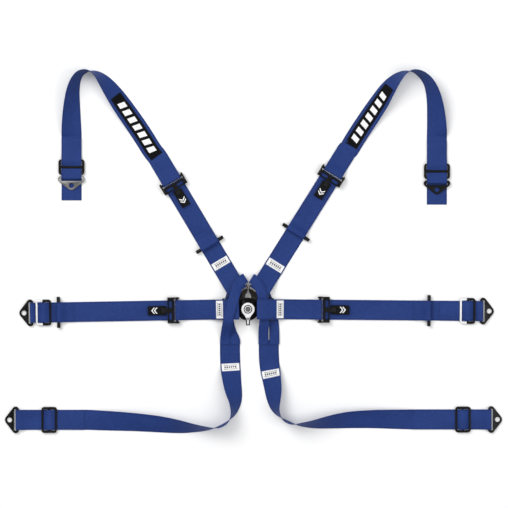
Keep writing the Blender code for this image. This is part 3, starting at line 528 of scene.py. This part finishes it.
def web_profile():
    """Closed cross-section (v, n, u) of flat webbing, with thicker corded edges."""
    half, deep = WEB_WIDTH / 2, WEB_THICK / 2
    top = [(-half, 0.25), (-half + 0.25, 0.75), (-half + 0.9, 1.0), (-half + 2.2, 1.0),
           (-half + 2.8, 0.8), (-half + 3.6, 0.93), (-half / 2, 0.95), (0.0, 0.95), (half / 2, 0.95),
           (half - 3.6, 0.93), (half - 2.8, 0.8), (half - 2.2, 1.0), (half - 0.9, 1.0),
           (half - 0.25, 0.75), (half, 0.25)]
    ring = [(v, n * deep, v + half) for v, n in top]
    return ring + [(v, -n, u) for v, n, u in reversed(ring)]


def folded_profile():
    """Closed cross-section of webbing folded in half lengthwise: two layers and a round fold."""
    half, deep, gap = BAND_WIDTH / 2, BAND_THICK / 2, 0.12
    outer = [(-half, deep, 0.0), (-half + 0.8, deep, 0.8), (-half / 2, deep, 6.0),
             (0.0, deep, 12.5), (half / 2, deep, 18.7), (half - 1.0, deep, 24.0),
             (half - 0.3, deep * 0.7, 24.6), (half, 0.0, 25.0), (half - 0.3, -deep * 0.7, 25.4),
             (half - 1.0, -deep, 26.0), (half / 2, -deep, 31.3), (0.0, -deep, 37.5),
             (-half / 2, -deep, 44.0), (-half + 0.8, -deep, 49.2), (-half, -deep, 50.0)]
    inner = [(-half, -gap, 50.0), (0.0, -gap, 37.5), (half - 1.2, -gap, 26.2),
             (half - 1.2, gap, 23.8), (0.0, gap, 12.5), (-half, gap, 0.0)]
    return outer + inner


def strap_piece(name, strap, profile, look="web", body=None):
    """A strap's surface: the cross-section carried along its stations, with lengths as UVs."""
    bm = bmesh.new()
    layer = bm.loops.layers.uv.new("UVMap")
    rings = [[bm.verts.new(centre + side * v + normal * n) for v, n, _ in profile]
             for _, centre, side, normal in strap.stations]
    count = len(profile)
    for i, (near, far) in enumerate(zip(rings, rings[1:])):
        a0, a1 = strap.stations[i][0], strap.stations[i + 1][0]
        for k in range(count):
            m = (k + 1) % count
            face = bm.faces.new((near[k], near[m], far[m], far[k]))
            marks = ((profile[k][2], a0), (profile[m][2], a0), (profile[m][2], a1), (profile[k][2], a1))
            for loop, (u, a) in zip(face.loops, marks):
                loop[layer].uv = (u * MM, a * MM)
    bm.faces.new(list(reversed(rings[0])))
    bm.faces.new(rings[-1])
    return finish_mesh(name, bm, look, body, 60.0)


def decals(name, strap, shapes, look, body, lift, thickness):
    """Thin closed patches on a strap's upper face; a shape is a quad in (a, v)."""
    bm = bmesh.new()
    for quad in shapes:
        (a0, v0), (a1, v1), (a2, v2), (a3, v3) = quad
        steps = max(2, math.ceil(max(abs(a2 - a1), abs(a1 - a0)) / DECAL_PITCH))
        rows = []
        for i in range(steps + 1):
            t = i / steps
            left = (a0 + (a1 - a0) * t, v0 + (v1 - v0) * t)
            right = (a3 + (a2 - a3) * t, v3 + (v2 - v3) * t)
            corners = [strap.place(*left, lift), strap.place(*right, lift),
                       strap.place(*right, lift + thickness), strap.place(*left, lift + thickness)]
            rows.append([bm.verts.new(c) for c in corners])
        for near, far in zip(rows, rows[1:]):
            for k in range(4):
                m = (k + 1) % 4
                bm.faces.new((near[k], near[m], far[m], far[k]))
        bm.faces.new(list(reversed(rows[0])))
        bm.faces.new(rows[-1])
    return finish_mesh(name, bm, look, body, 30.0)


def rect(a0, a1, v0, v1):
    """An upright quad in (a, v)."""
    return ((a0, v0), (a1, v0), (a1, v1), (a0, v1))


def stitches(name, strap, lines, body, lift, pitch=3.3, size=(1.25, 0.42, 0.34)):
    """Rows of sewn thread on a strap; a line runs from (a, v) to (a, v)."""
    bm = bmesh.new()
    for (a0, v0), (a1, v1) in lines:
        span = math.hypot(a1 - a0, v1 - v0)
        count = max(1, int(span / pitch))
        for i in range(count):
            t = (i + 0.5) / count
            a, v = a0 + (a1 - a0) * t, v0 + (v1 - v0) * t
            centre = strap.place(a, v, lift)
            ahead = strap.place(a + (a1 - a0) / span * 0.5, v + (v1 - v0) / span * 0.5, lift)
            above = strap.place(a, v, lift + 1.0)
            along = (ahead - centre).normalized()
            up = (above - centre).normalized()
            turn = Matrix((along, up.cross(along), up)).transposed().to_4x4()
            place = Matrix.Translation(centre) @ turn @ Matrix.Diagonal((*size, 1.0))
            bmesh.ops.create_icosphere(bm, subdivisions=1, radius=1.0, matrix=place)
    return finish_mesh(name, bm, "thread", body, 80.0)


def sewn_box(a0, a1, half_v, cross=True):
    """A sewn rectangle, with its diagonals."""
    lines = [((a0, -half_v), (a1, -half_v)), ((a0, half_v), (a1, half_v)),
             ((a0, -half_v), (a0, half_v)), ((a1, -half_v), (a1, half_v))]
    if cross:
        lines += [((a0, -half_v), (a1, half_v)), ((a0, half_v), (a1, -half_v))]
    return lines


def lathe(name, profile, look, body, segments=96, place=Matrix.Identity(4), shape=None):
    """A closed solid of revolution from (radius, z); shape(angle, radius) can vary the radius."""
    bm = bmesh.new()
    rings = []
    for radius, z in profile:
        ring = []
        for i in range(segments):
            angle = 2 * math.pi * i / segments
            r = shape(angle, radius) if shape else radius
            ring.append(bm.verts.new((r * math.cos(angle), r * math.sin(angle), z)))
        rings.append(ring)
    for near, far in zip(rings, rings[1:] + rings[:1]):
        for i in range(segments):
            j = (i + 1) % segments
            bm.faces.new((near[i], near[j], far[j], far[i]))
    bmesh.ops.remove_doubles(bm, verts=bm.verts, dist=1e-5)
    bm.transform(place)
    return finish_mesh(name, bm, look, body, 38.0)


def rounded_copy(node, look, body, width=0.6, segments=3):
    """The CAD node's solid with its edges broken, standing for the node."""
    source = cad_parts[node]
    bm = bmesh.new()
    bm.from_mesh(source.data)
    bmesh.ops.remove_doubles(bm, verts=bm.verts, dist=2e-6)
    bmesh.ops.dissolve_limit(bm, angle_limit=math.radians(1.0), verts=bm.verts, edges=bm.edges)
    mesh = bpy.data.meshes.new(f"{node}_finished")
    bm.to_mesh(mesh)
    bm.free()
    mesh.materials.clear()
    mesh.materials.append(LOOKS[look])
    obj = bpy.data.objects.new(f"{node}_finished", mesh)
    bpy.context.scene.collection.objects.link(obj)
    bevel = obj.modifiers.new("edges", "BEVEL")
    bevel.width = width * MM
    bevel.segments = segments
    bevel.limit_method = "ANGLE"
    bevel.angle_limit = math.radians(32.0)
    depsgraph = bpy.context.evaluated_depsgraph_get()
    rounded = bpy.data.meshes.new_from_object(obj.evaluated_get(depsgraph))
    obj.modifiers.clear()
    obj.data = rounded
    rounded.shade_smooth()
    rounded.set_sharp_from_angle(angle=math.radians(35.0))
    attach(obj, body)
    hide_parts(node)
    return obj


def look_beyond(obj, look, point, direction):
    """Gives a second look to the part of a mesh that lies beyond a plane."""
    obj.data.materials.append(LOOKS[look])
    split = point * MM
    bm = bmesh.new()
    bm.from_mesh(obj.data)
    bmesh.ops.bisect_plane(bm, geom=bm.verts[:] + bm.edges[:] + bm.faces[:], dist=1e-7,
                           plane_co=split, plane_no=direction)
    for face in bm.faces:
        if (face.calc_center_median() - split).dot(direction) > 0.0:
            face.material_index = 1
    bm.to_mesh(obj.data)
    bm.free()


def metres(vector):
    return tuple(float(x) * MM for x in vector)


# ---------------------------------------------------------------- buckle

def make_buckle():
    for node, look, width in (("buckle_base", "black", 0.5), ("buckle_housing", "black", 0.5)):
        rounded_copy(node, look, ROOT, width)

    cover = [(20.2, 17.3), (28.0, 17.3), (28.5, 17.8), (28.5, 18.3), (28.2, 18.9), (27.2, 19.9),
             (26.4, 20.4), (18.6, 24.4), (17.8, 24.9), (17.2, 25.0), (6.8, 25.0), (6.4, 24.6),
             (6.4, 23.2), (20.2, 23.2)]
    piece = lathe("buckle_cover_finished", cover, "black", ROOT, 128)
    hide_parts("buckle_cover")

    lever = rounded_copy("release_lever", "chrome", "release_lever", 0.7)
    look_beyond(lever, "enamel", Vector((0.0, -25.0, 0.0)), Vector((0.0, -1.0, 0.0)))
    rim = [(14.2, 28.38), (15.1, 28.38), (15.35, 28.75), (15.1, 29.1), (14.2, 29.1), (13.95, 28.75)]
    lathe("lever_raised_rim", rim, "chrome", "release_lever", 96)
    dial = [(8.2, 28.38), (10.9, 28.38), (10.9, 28.62), (8.2, 28.62)]
    lathe("lever_dark_ring", dial, "enamel", "release_lever", 96)
    well = [(4.0, 28.38), (6.4, 28.38), (6.4, 28.56), (4.0, 28.56)]
    lathe("lever_dark_well", well, "enamel", "release_lever", 72)
    # a raised polished strip along the tab's middle stands for the highlight line on the black tab: a
    # painted highlight
    bm = bmesh.new()
    ridge = Matrix.Translation((0.0, -32.0, 34.35)) @ Matrix.Diagonal((3.0, 11.0, 0.7, 1.0))
    bmesh.ops.create_cube(bm, size=1.0, matrix=ridge)
    finish_mesh("lever_tab_highlight_strip", bm, "chrome", "release_lever")

    def hexagon(angle, radius):
        if radius > 2.65:
            return radius
        step = math.pi / 3
        return radius * math.cos(step / 2) / math.cos((angle % step) - step / 2)

    screw = [(0.001, 28.7), (4.7, 28.7), (5.0, 29.0), (5.0, 29.9), (4.5, 30.4), (2.9, 30.4),
             (2.6, 30.2), (2.6, 29.3), (0.001, 29.3)]
    lathe("spindle_screw_head", screw, "steel", ROOT, 48, shape=hexagon)
    for node in ("spindle_bolt", "cam_sleeve", "return_spring", "latch_plate"):
        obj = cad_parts[node]
        obj.data.materials.clear()
        obj.data.materials.append(LOOKS["steel"])


# ---------------------------------------------------------------- belts

def make_adjuster_looks(side, arm, base):
    """The tilting frame with its grip bar, lift tab and pivot rivets."""
    body = f"{side}_adjuster"
    rounded_copy(f"{side}_adjuster_frame", "black", body, 0.7)
    rounded_copy(f"{side}_grip_bar", "chrome", body, 0.6)
    rounded_copy(f"{side}_release_tab", "rubber", body, 0.8)

    # a plain lift mark: two chevrons that point away from the frame
    bm = bmesh.new()
    for k in range(2):
        for flip in (-1, 1):
            s, v = CHEVRON_AT - CHEVRON_PITCH * k, flip * CHEVRON_HALF
            outline = [(s, 0.0), (s + 6.0, v), (s + 9.2, v), (s + 3.2, 0.0)]
            low = [bm.verts.new((x, y, CHEVRON_BOTTOM)) for x, y in outline]
            high = [bm.verts.new((x, y, CHEVRON_TOP)) for x, y in outline]
            bm.faces.new(low)
            bm.faces.new(high)
            for i in range(4):
                j = (i + 1) % 4
                bm.faces.new((low[i], low[j], high[j], high[i]))
    bm.transform(arm.matrix(base, 0.0))
    finish_mesh(f"{side}_tab_lift_mark", bm, "print", body, 30.0)

    rivet = [(0.001, 0.0), (3.1, 0.0), (3.1, 0.35), (2.3, 0.9), (0.001, 1.0)]
    for v in (-1, 1):
        place = arm.matrix(base + PIVOT_AT, PIVOT_Z) @ Matrix.Translation((0.0, v * RIVET_AT, 0.0))
        place = place @ Matrix.Rotation(-v * math.pi / 2, 4, "X")
        end = "left" if v > 0 else "right"
        lathe(f"{side}_pivot_rivet_{end}", rivet, "steel", body, 28, place)


def make_pull_bar(side, arm, at, belt):
    """Round bar with dressed ends, across the fold of the free end."""
    half = PULL_LENGTH / 2
    profile = [(0.001, -half), (3.2, -half), (4.2, -half + 0.7), (PULL_R, -half + 1.8),
               (PULL_R, half - 1.8), (4.2, half - 0.7), (3.2, half), (0.001, half)]
    place = arm.matrix(at, PULL_Z) @ Matrix.Rotation(math.radians(90), 4, "X")
    piece = lathe(f"{side}_pull_bar_finished", profile, "black", belt, 40, place)
    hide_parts(f"{side}_pull_bar")


def declare(nodes):
    """Hides the CAD solids that the webbing stands for."""
    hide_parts(*nodes)


def label(side, strap, x, y, body, length=19.0, across=44.0):
    """White sewn label with a plain printed border, three bars and sewn ends."""
    a = strap.find(x, y)
    low, high, half = a - length / 2, a + length / 2, across / 2
    lift = WEB_THICK / 2
    decals(f"{side}_sewn_label", strap, [rect(low, high, -half, half)], "label", body, lift, 0.30)
    ink = [rect(a - 2.4, a + 2.4, -15.2 + 5.3 * k, -12.0 + 5.3 * k) for k in range(6)]
    ink += [rect(a - 5.4, a - 4.5, -half + 5, half - 5), rect(a + 4.5, a + 5.4, -half + 5, half - 5)]
    decals(f"{side}_label_print", strap, ink, "ink", body, lift + 0.50, 0.12)
    lines = [((low + 1.2, -half + 1), (low + 1.2, half - 1)),
             ((high - 1.2, -half + 1), (high - 1.2, half - 1))]
    stitches(f"{side}_label_stitches", strap, lines, body, lift + 0.34, 2.6, (0.9, 0.25, 0.2))


def make_shoulder(side, arm, base, pull_at, rolled, tail_arm, slide_at, label_at, patch_span):
    """A shoulder belt: tongue to adjuster, then over the top to the slide and bracket."""
    belt, adjuster = f"{side}_belt", f"{side}_adjuster"
    rounded_copy(f"{side}_tongue", "tongue", belt, 0.4, 2)
    lower_points = shoulder_tongue_fold(124.0) + [(124.0, LAYER_2), (138.0, LAYER_1), (170.0, LAYER_1),
                                                  (base - FREE_RUN, LAYER_1)]
    lower_points += turn_path(base) + [(base - FREE_RUN, LAYER_2)] + pull_fold(pull_at)
    lower = Strap(plane_frames(arm, lower_points))
    piece = strap_piece(f"{side}_lower_strap", lower, web_profile())
    declare([f"{side}_lower_webbing", f"{side}_grip_turn", f"{side}_free_end"])
    metres(arm.point(base - BLEND_START, 0.0, LAYER_2))
    metres(arm.point(base - BLEND_END, 0.0, LAYER_2))
    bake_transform(piece)
    make_pull_bar(side, arm, pull_at, belt)
    make_adjuster_looks(side, arm, base)

    seam = base + ADJUSTER_SEAM
    loop = pivot_loop(base, ADJUSTER_SEAM) + [(seam, LAYER_2), (seam + 12.0, LAYER_1)]
    frames = plane_frames(arm, loop) + rolled_frames(rolled)
    down = reversed(shoulder_fitting_path(slide_at, LAYER_STEP))
    turned_down = half_turn(slide_at - 25.0, (LAYER_1 + LAYER_2) / 2, LAYER_STEP / 2, 90, 270)
    turned_down += [(slide_at + 20.0, LAYER_1), (slide_at + SHOULDER_TAIL, LAYER_1)]
    frames += plane_frames(tail_arm, list(down) + turned_down, side=-1.0)
    upper = Strap(frames)
    piece = strap_piece(f"{side}_upper_strap", upper, web_profile(), body=belt)
    declare([f"{side}_upper_webbing"])
    rounded_copy(f"{side}_slide", "black", belt, 0.7)
    metal = "grey" if side == "left_shoulder" else "black"
    rounded_copy(f"{side}_bracket", metal, f"{side}_anchor", 0.6)

    lift = WEB_THICK / 2 - THREAD_SINK
    a = lower.find(*arm.point(pull_at + 27.0, 0.0, 0.0).xy)
    stitches(f"{side}_pull_stitches", lower, sewn_box(a - 7.0, a + 8.0, SEAM_HALF, False), belt, lift)
    a = lower.find(*arm.point(108.0, 0.0, 0.0).xy)
    stitches(f"{side}_tongue_stitches", lower, sewn_box(a - 12.0, a + 10.0, SEAM_HALF), belt, lift)
    a = upper.find(*arm.point(base + 62.0, 0.0, 0.0).xy)
    stitches(f"{side}_adjuster_stitches", upper, sewn_box(a - 10.0, a + 10.0, SEAM_HALF), belt, lift)
    label(side, lower, *label_at, belt)

    # black patch with a plain row of slanted stripes
    start, end = upper.find(*patch_span[0]), upper.find(*patch_span[1])
    start, end = min(start, end), max(start, end)
    ground = [rect(start, end, -PATCH_HALF, PATCH_HALF)]
    decals(f"{side}_shoulder_patch", upper, ground, "patch", belt, lift, 0.5)
    pitch = (end - start - 30.0) / STRIPE_COUNT
    bars = []
    for k in range(STRIPE_COUNT):
        a0 = start + STRIPE_MARGIN + k * pitch
        a1 = a0 + pitch - STRIPE_GAP
        bars.append(((a0, -STRIPE_HALF), (a1, -STRIPE_HALF), (a1 + STRIPE_SLANT, STRIPE_HALF),
                     (a0 + STRIPE_SLANT, STRIPE_HALF)))
    decals(f"{side}_patch_stripes", upper, bars, "print", belt, lift + STRIPE_LIFT, 0.35)
    edge = sewn_box(start + 1.5, end - 1.5, PATCH_SEAM_HALF, False)
    stitches(f"{side}_patch_stitches", upper, edge, belt, lift + 0.5, 2.8, (1.0, 0.28, 0.2))


def make_lap(side, arm, base, pull_at, slide_at, reach, tail, label_at):
    """A lap belt: its adjuster is turned round, so it is drawn from the far end."""
    belt, adjuster = f"{side}_belt", f"{side}_adjuster"
    rounded_copy(f"{side}_tongue", "tongue", belt, 0.4, 2)
    back = arm.reversed_from(LAP_RUN)
    base_back = LAP_RUN - base
    loop = [(LAP_RUN - s, z) for s, z in reversed(pivot_loop(base_back, LAP_ADJUSTER_SEAM))]
    inner_points = lap_tongue_fold(114.0) + [(base - 62.0, LAYER_2)] + loop
    inner = Strap(plane_frames(arm, inner_points))
    piece = strap_piece(f"{side}_inner_strap", inner, web_profile(), body=belt)
    declare([f"{side}_inner_webbing"])
    make_adjuster_looks(side, back, base_back)

    points = pull_fold(LAP_RUN - pull_at)[::-1]
    points += [(base_back - FREE_RUN, LAYER_2)] + turn_path(base_back)[::-1]
    points += [(base_back - FREE_RUN, LAYER_1)]
    outer_points = [(LAP_RUN - s, z) for s, z in points]
    outer_points += fitting_path(slide_at, reach, 0.0, -36.0, tail)
    outer = Strap(plane_frames(arm, outer_points))
    piece = strap_piece(f"{side}_outer_strap", outer, web_profile())
    declare([f"{side}_outer_webbing", f"{side}_grip_turn", f"{side}_free_end"])
    metres(back.point(base_back - BLEND_START, 0.0, LAYER_2))
    metres(back.point(base_back - BLEND_END, 0.0, LAYER_2))
    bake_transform(piece)
    make_pull_bar(side, back, LAP_RUN - pull_at, belt)

    slide = rounded_copy(f"{side}_slide", "black", belt, 0.7)
    # the bar on the lit side, towards the key light, gets the polished-steel look as a painted highlight:
    # the outer one on the left belt and the inner one on the right
    lit_bar_side = 1.0 if side == "left_lap" else -1.0
    look_beyond(slide, "chrome", arm.point(slide_at + lit_bar_side * 2.2, 0.0, 0.0), arm.along * lit_bar_side)
    rounded_copy(f"{side}_bracket", "black", f"{side}_anchor", 0.6)

    lift = WEB_THICK / 2 - THREAD_SINK
    a = outer.find(*arm.point(pull_at - 27.0, 0.0, 0.0).xy)
    stitches(f"{side}_pull_stitches", outer, sewn_box(a - 8.0, a + 7.0, SEAM_HALF, False), belt, lift)
    a = inner.find(*arm.point(108.0, 0.0, 0.0).xy)
    stitches(f"{side}_tongue_stitches", inner, sewn_box(a - 8.0, a + 8.0, SEAM_HALF, False), belt, lift)
    label(side, inner, *label_at, belt)


def make_leg(side, rolled, arm, slide_at, reach, tail, band, label_at):
    """A crotch strap with its folded band, slide and bracket."""
    frames = rolled_frames(rolled)
    frames += plane_frames(arm, fitting_path(slide_at, reach, 0.0, -60.0, tail))
    strap = Strap(frames)
    piece = strap_piece(f"{side}_strap", strap, web_profile(), body=ROOT)
    declare([f"{side}_webbing"])
    loop = Strap(band_frames(band))
    piece = strap_piece(f"{side}_loop_band", loop, folded_profile(), "band", ROOT)
    declare([f"{side}_loop"])
    rounded_copy(f"{side}_slide", "black", ROOT, 0.7)
    rounded_copy(f"{side}_bracket", "black", f"{side}_anchor", 0.6)

    lift = WEB_THICK / 2 - THREAD_SINK
    label(side, strap, *label_at, ROOT)
    lines = [((14.0, v), (48.0, v)) for v in (-SEAM_HALF, -SEAM_HALF / 2, 0.0, SEAM_HALF / 2, SEAM_HALF)]
    lines += [((a, -SEAM_HALF), (a, SEAM_HALF)) for a in (14.0, 25.5, 37.0, 48.0)]
    stitches(f"{side}_sewn_field", strap, lines, ROOT, lift, 2.9)
    for name, first in (("front", True), ("back", False)):
        low, high = (4.0, 17.0) if first else (loop.length - 15.0, loop.length - 4.0)
        lines = sewn_box(low, high, BAND_SEAM_HALF)
        stitches(f"{side}_loop_stitches_{name}", loop, lines, ROOT, BAND_THICK / 2 - THREAD_SINK, 2.8)


def build():
    make_buckle()
    left_shoulder = Arm(0.0, 0.0, LEFT_SHOULDER_HEADING)
    right_shoulder = Arm(0.0, 0.0, RIGHT_SHOULDER_HEADING)
    left_lap = Arm(0.0, 0.0, LEFT_LAP_HEADING)
    right_lap = Arm(0.0, 0.0, RIGHT_LAP_HEADING)
    # shoulder straps over the top: x, y and lean in degrees, from the straight run to the tail
    left_top = [(-240.0, 397.0, 0.0), (-271.0, 446.0, 3.0), (-300.0, 488.0, 11.0),
                (-321.0, 518.0, 22.0), (-341.0, 546.0, 37.0), (-360.0, 570.0, 54.0),
                (-380.0, 588.0, 74.0), (-400.0, 594.0, 92.0), (-419.0, 586.0, 106.0),
                (-430.0, 568.0, 116.0), (-436.0, 545.0, 126.0), (-439.0, 515.0, 138.0),
                (-440.5, 480.0, 152.0), (-441.0, 445.0, 168.0), (-441.0, 430.0, 180.0)]
    right_top = [(250.0, 397.0, 0.0), (281.0, 446.0, -3.0), (309.0, 488.0, -11.0),
                 (329.0, 518.0, -22.0), (347.0, 546.0, -37.0), (366.0, 570.0, -54.0),
                 (388.0, 588.0, -74.0), (410.0, 594.0, -92.0), (432.0, 585.0, -106.0),
                 (449.0, 567.0, -116.0), (459.0, 545.0, -126.0), (466.0, 515.0, -138.0),
                 (470.0, 480.0, -152.0), (472.0, 445.0, -168.0), (472.0, 430.0, -180.0)]
    # crotch straps: flat under the buckle, standing on edge in the bend, flat again
    left_run = [(-45.0, -77.0, 0.0), (-45.0, -110.0, 0.0), (-44.0, -140.0, 0.0),
                (-41.0, -172.0, -20.0), (-36.5, -202.0, -33.0), (-33.0, -224.0, -47.0),
                (-33.5, -244.0, -62.0), (-38.5, -264.0, -78.0), (-52.0, -282.0, -92.0),
                (-72.0, -293.0, -92.0), (-98.0, -297.0, -78.0), (-135.0, -296.0, -62.0),
                (-172.0, -292.5, -46.0), (-222.0, -287.0, -32.0), (-285.0, -282.0, -22.0),
                (-350.0, -279.0, -10.0), (-400.0, -277.0, 0.0)]
    right_run = [(52.0, -77.0, 0.0), (52.0, -110.0, 0.0), (54.0, -140.0, 0.0),
                 (59.0, -172.0, 20.0), (63.0, -202.0, 33.0), (65.0, -224.0, 47.0),
                 (68.0, -244.0, 62.0), (76.0, -262.0, 78.0), (90.0, -276.0, 92.0),
                 (108.0, -284.0, 92.0), (130.0, -287.0, 78.0), (165.0, -286.0, 62.0),
                 (205.0, -281.0, 46.0), (250.0, -276.5, 32.0), (310.0, -274.5, 22.0),
                 (380.0, -275.5, 10.0), (430.0, -276.0, 0.0)]
    # loops: x, y, z and heading, round the shoulder strap's edge and back under both straps;
    # the left one passes over the lap strap, the right one through its fold
    left_band = [(-57.5, -88.0, BAND_LAYER, 90.0), (-57.3, -77.0, 3.4, 90.0),
                 (-55.5, -62.0, 9.0, 87.0), (-53.0, -46.0, 21.0, 82.0),
                 (-50.0, -32.0, 31.0, 79.0), (-47.0, -16.0, 33.0, 77.0),
                 (-43.0, 0.0, 33.2, 74.0), (-39.0, 14.0, 33.2, 71.0),
                 (-35.0, 28.0, 32.2, 68.0), (-31.0, 41.0, 28.5, 62.0),
                 (-27.0, 53.0, 24.0, 50.0), (-23.0, 63.0, 19.5, 38.0),
                 (-13.4, 73.6, 16.4, 31.0), (-6.6, 77.6, 10.0, 31.0), (-13.4, 73.6, 4.0, 31.0),
                 (-23.0, 67.5, 1.7, 34.0), (-31.0, 58.0, BAND_UNDER, 46.0),
                 (-38.0, 45.0, BAND_UNDER, 56.0), (-43.5, 30.0, BAND_UNDER, 64.0),
                 (-47.5, 10.0, BAND_UNDER, 76.0), (-49.0, -14.0, BAND_UNDER, 90.0),
                 (-47.0, -36.0, BAND_UNDER, 98.0), (-41.0, -58.0, 1.5, 104.0),
                 (-34.5, -72.0, 2.6, 98.0), (-32.0, -80.0, BAND_LAYER, 92.0),
                 (-32.0, -88.0, BAND_LAYER, 90.0)]
    right_band = [(38.5, -88.0, BAND_LAYER, 90.0), (38.5, -77.0, 3.4, 90.0),
                  (38.5, -62.0, 7.0, 90.0), (39.0, -48.0, 11.6, 89.0),
                  (40.2, -36.0, 14.8, 87.0), (41.4, -22.0, 15.3, 88.0),
                  (41.6, -8.0, 15.3, 90.0), (41.6, 4.0, 15.3, 93.0),
                  (40.0, 16.0, 15.6, 98.0), (37.4, 27.0, 17.6, 104.0),
                  (34.5, 38.0, 19.0, 110.0), (30.5, 50.0, 19.0, 120.0),
                  (24.5, 61.5, 18.6, 133.0),
                  (15.8, 72.6, 16.8, 148.0), (9.3, 76.6, 10.0, 148.0), (15.2, 73.0, 4.0, 148.0),
                  (22.0, 68.5, 1.7, 145.0), (30.5, 58.0, BAND_UNDER, 137.0),
                  (39.0, 42.0, BAND_UNDER, 128.0), (47.5, 26.0, BAND_UNDER, 119.0),
                  (54.5, 8.0, BAND_UNDER, 110.0), (60.5, -14.0, BAND_UNDER, 104.0),
                  (64.5, -36.0, BAND_UNDER, 98.0), (66.0, -58.0, 1.5, 92.0),
                  (66.0, -74.0, 2.6, 90.0), (66.0, -88.0, BAND_LAYER, 90.0)]
    make_shoulder("left_shoulder", left_shoulder, LEFT_SHOULDER_BASE, LEFT_SHOULDER_PULL, left_top,
                  Arm(-441.0, 700.0, -90.0), SHOULDER_SLIDES["left"], (-69.0, 117.0),
                  ((-230.0, 382.0), (-330.0, 529.0)))
    make_shoulder("right_shoulder", right_shoulder, RIGHT_SHOULDER_BASE, RIGHT_SHOULDER_PULL, right_top,
                  Arm(472.0, 700.0, -90.0), SHOULDER_SLIDES["right"], (71.0, 112.0),
                  ((259.0, 400.0), (351.0, 554.0)))
    make_lap("left_lap", left_lap, LEFT_LAP_BASE, LEFT_LAP_PULL, 511.0, 29.0, -24.0,
             (-76.0, -6.0))
    make_lap("right_lap", right_lap, RIGHT_LAP_BASE, RIGHT_LAP_PULL, 548.5, 34.5, -70.0,
             (81.0, -2.0))
    make_leg("left_leg", left_run, Arm(0.0, -277.0, 180.0), 496.5, 79.5, -87.0, left_band,
             (-44.0, -146.0))
    make_leg("right_leg", right_run, Arm(0.0, -276.0, 0.0), 537.0, 66.5, -128.0, right_band,
             (59.0, -155.0))


def make_stage():
    look = Look("floor_white", Roughness=0.8)
    cloud = look.noise(look.scaled((2.0, 2.0, 2.0)), 1.0, 2.0)
    look.set("Base Color", look.ramp(cloud, 0.3, 0.7, (0.93, 0.93, 0.93), (0.94, 0.94, 0.94)))
    mesh = bpy.data.meshes.new("floor")
    bm = bmesh.new()
    bmesh.ops.create_grid(bm, x_segments=1, y_segments=1, size=6.0)
    bm.to_mesh(mesh)
    bm.free()
    mesh.materials.append(look.mat)
    floor = bpy.data.objects.new("floor", mesh)
    floor.location = (0.0, 0.0, -0.0005)
    bpy.context.scene.collection.objects.link(floor)


def add_light(name, place, size, energy):
    data = bpy.data.lights.new(name, "AREA")
    data.shape = "SQUARE"
    data.size = size
    data.energy = energy
    light = bpy.data.objects.new(name, data)
    light.location = place
    light.rotation_euler = (Vector((0.0, 0.1, 0.0)) - Vector(place)).to_track_quat("-Z", "Y").to_euler()
    bpy.context.scene.collection.objects.link(light)


def make_lights():
    scene = bpy.context.scene
    world = bpy.data.worlds.new("studio")
    world.use_nodes = True
    shade = world.node_tree.nodes["Background"]
    shade.inputs["Color"].default_value = (1.0, 1.0, 1.0, 1.0)
    shade.inputs["Strength"].default_value = 0.36
    scene.world = world
    add_light("softbox_overhead", (0.0, 0.3, 6.6), 7.0, 150.0)
    add_light("key_upper_left", (-2.4, 2.4, 3.6), 2.8, 130.0)
    add_light("fill_right", (2.8, -0.6, 3.2), 2.4, 48.0)


def make_camera():
    """Straight above; the view is 1.27 m across at the floor."""
    height, field, sensor = 6.0, 1.27, 36.0
    data = bpy.data.cameras.new("camera")
    data.sensor_width = sensor
    data.lens = sensor * height / field
    data.clip_end = 50.0
    camera = bpy.data.objects.new("camera", data)
    camera.location = (0.015, 0.1375, height)
    bpy.context.scene.collection.objects.link(camera)
    bpy.context.scene.camera = camera
    bpy.context.scene.view_settings.view_transform = "Standard"


make_camera()
build()
make_stage()
make_lights()
